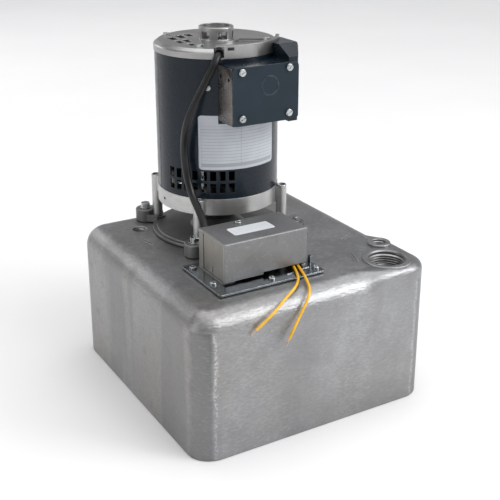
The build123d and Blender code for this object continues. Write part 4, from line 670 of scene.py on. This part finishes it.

# soft black block in the second notch of the end bell, a dark stand-in for the shade inside the slot
def slot_shade_block():
    bm = bmesh.new()
    a = radians(254.3)
    o = Vector((cos(a), sin(a), 0))
    t = Vector((-sin(a), cos(a), 0))
    c = Vector((-5.7, 60.0, 396.0)) + o * 70.0
    rings = []
    for d, k in ((-1.7, 0.86), (-1.2, 1.0), (0.9, 1.0), (1.3, 0.9)):
        ring = []
        for q in range(24):
            an = 2 * pi * q / 24
            ex = 0.28
            u = 3.5 * k * math.copysign(abs(cos(an)) ** ex, cos(an))
            v = 1.6 * k * math.copysign(abs(sin(an)) ** ex, sin(an))
            ring.append((c + o * d + t * u + Vector((0, 0, v))) * mm)
        rings.append(ring)
    ring_strip(bm, rings, caps=True)
    return new_mesh("bell_slot_plug", bm)


paint(slot_shade_block(), "black_rubber")

# ------------------------------------------------------------------ floor and light
def floor_mat():
    m = Mat("floor_paper")
    c = m.mix(m.ramp(m.noise(3, 3, 0.5), [(0.3, 0.0), (0.7, 1.0)]), (0.86, 0.86, 0.86), (0.88, 0.88, 0.88))
    m.b.inputs["Specular IOR Level"].default_value = 0.15
    r = m.rng(m.noise(12, 2, 0.5), 0.3, 0.7, 0.75, 0.85)
    return m.set(c, r, None, m.bump(m.noise(700, 2, 0.5), 0.03, 0.0002))


bm = bmesh.new()
bmesh.ops.create_grid(bm, x_segments=8, y_segments=8, size=9.0)
me = bpy.data.meshes.new("floor")
bm.to_mesh(me)
bm.free()
floor = bpy.data.objects.new("floor", me)
scene.collection.objects.link(floor)
floor.location = (0, 0, 0)
me.materials.append(floor_mat())

world = bpy.data.worlds.new("studio")
scene.world = world
world.use_nodes = True
wt = world.node_tree
wt.nodes.clear()
wo = wt.nodes.new("ShaderNodeOutputWorld")
bg = wt.nodes.new("ShaderNodeBackground")
wc = wt.nodes.new("ShaderNodeTexCoord")
sep = wt.nodes.new("ShaderNodeSeparateXYZ")
rp = wt.nodes.new("ShaderNodeValToRGB")
wt.links.new(wc.outputs["Generated"], sep.inputs[0])
wt.links.new(sep.outputs["Z"], rp.inputs[0])
e = rp.color_ramp.elements
e[0].position, e[0].color = 0.0, (0.66, 0.66, 0.67, 1)
e[1].position, e[1].color = 0.45, (0.16, 0.16, 0.17, 1)
wt.links.new(rp.outputs[0], bg.inputs[0])
bg.inputs[1].default_value = 1.0
wt.links.new(bg.outputs[0], wo.inputs[0])


def area(name, loc, target, size, power, color=(1, 1, 1)):
    li = bpy.data.lights.new(name, "AREA")
    li.shape = "RECTANGLE"
    li.size, li.size_y = size
    li.energy = power
    li.color = color
    ob = bpy.data.objects.new(name, li)
    scene.collection.objects.link(ob)
    ob.location = loc
    ob.rotation_euler = (Vector(target) - Vector(loc)).to_track_quat("-Z", "Y").to_euler()
    return ob


area("key", (1.7, -1.7, 1.5), (0.0, 0.0, 0.15), (1.1, 1.3), 30)
area("strip", (0.55, -1.35, 1.75), (0.0, -0.1, 0.16), (0.9, 0.35), 6)
area("fill", (-2.2, -0.1, 1.2), (0.0, 0.0, 0.2), (0.9, 1.8), 9)
area("top", (0.2, 0.9, 3.2), (0.0, 0.0, 0.0), (3.0, 2.4), 24)
area("back", (-0.9, 2.6, 1.3), (0.0, 0.0, 0.3), (1.8, 0.8), 10)
sun_data = bpy.data.lights.new("sky", "SUN")
sun_data.energy = 1.75
sun_data.angle = radians(100)
sun = bpy.data.objects.new("sky", sun_data)
scene.collection.objects.link(sun)
sun.rotation_euler = (radians(12), radians(10), 0)
scene.view_settings.view_transform = "Standard"
scene.view_settings.look = "None"
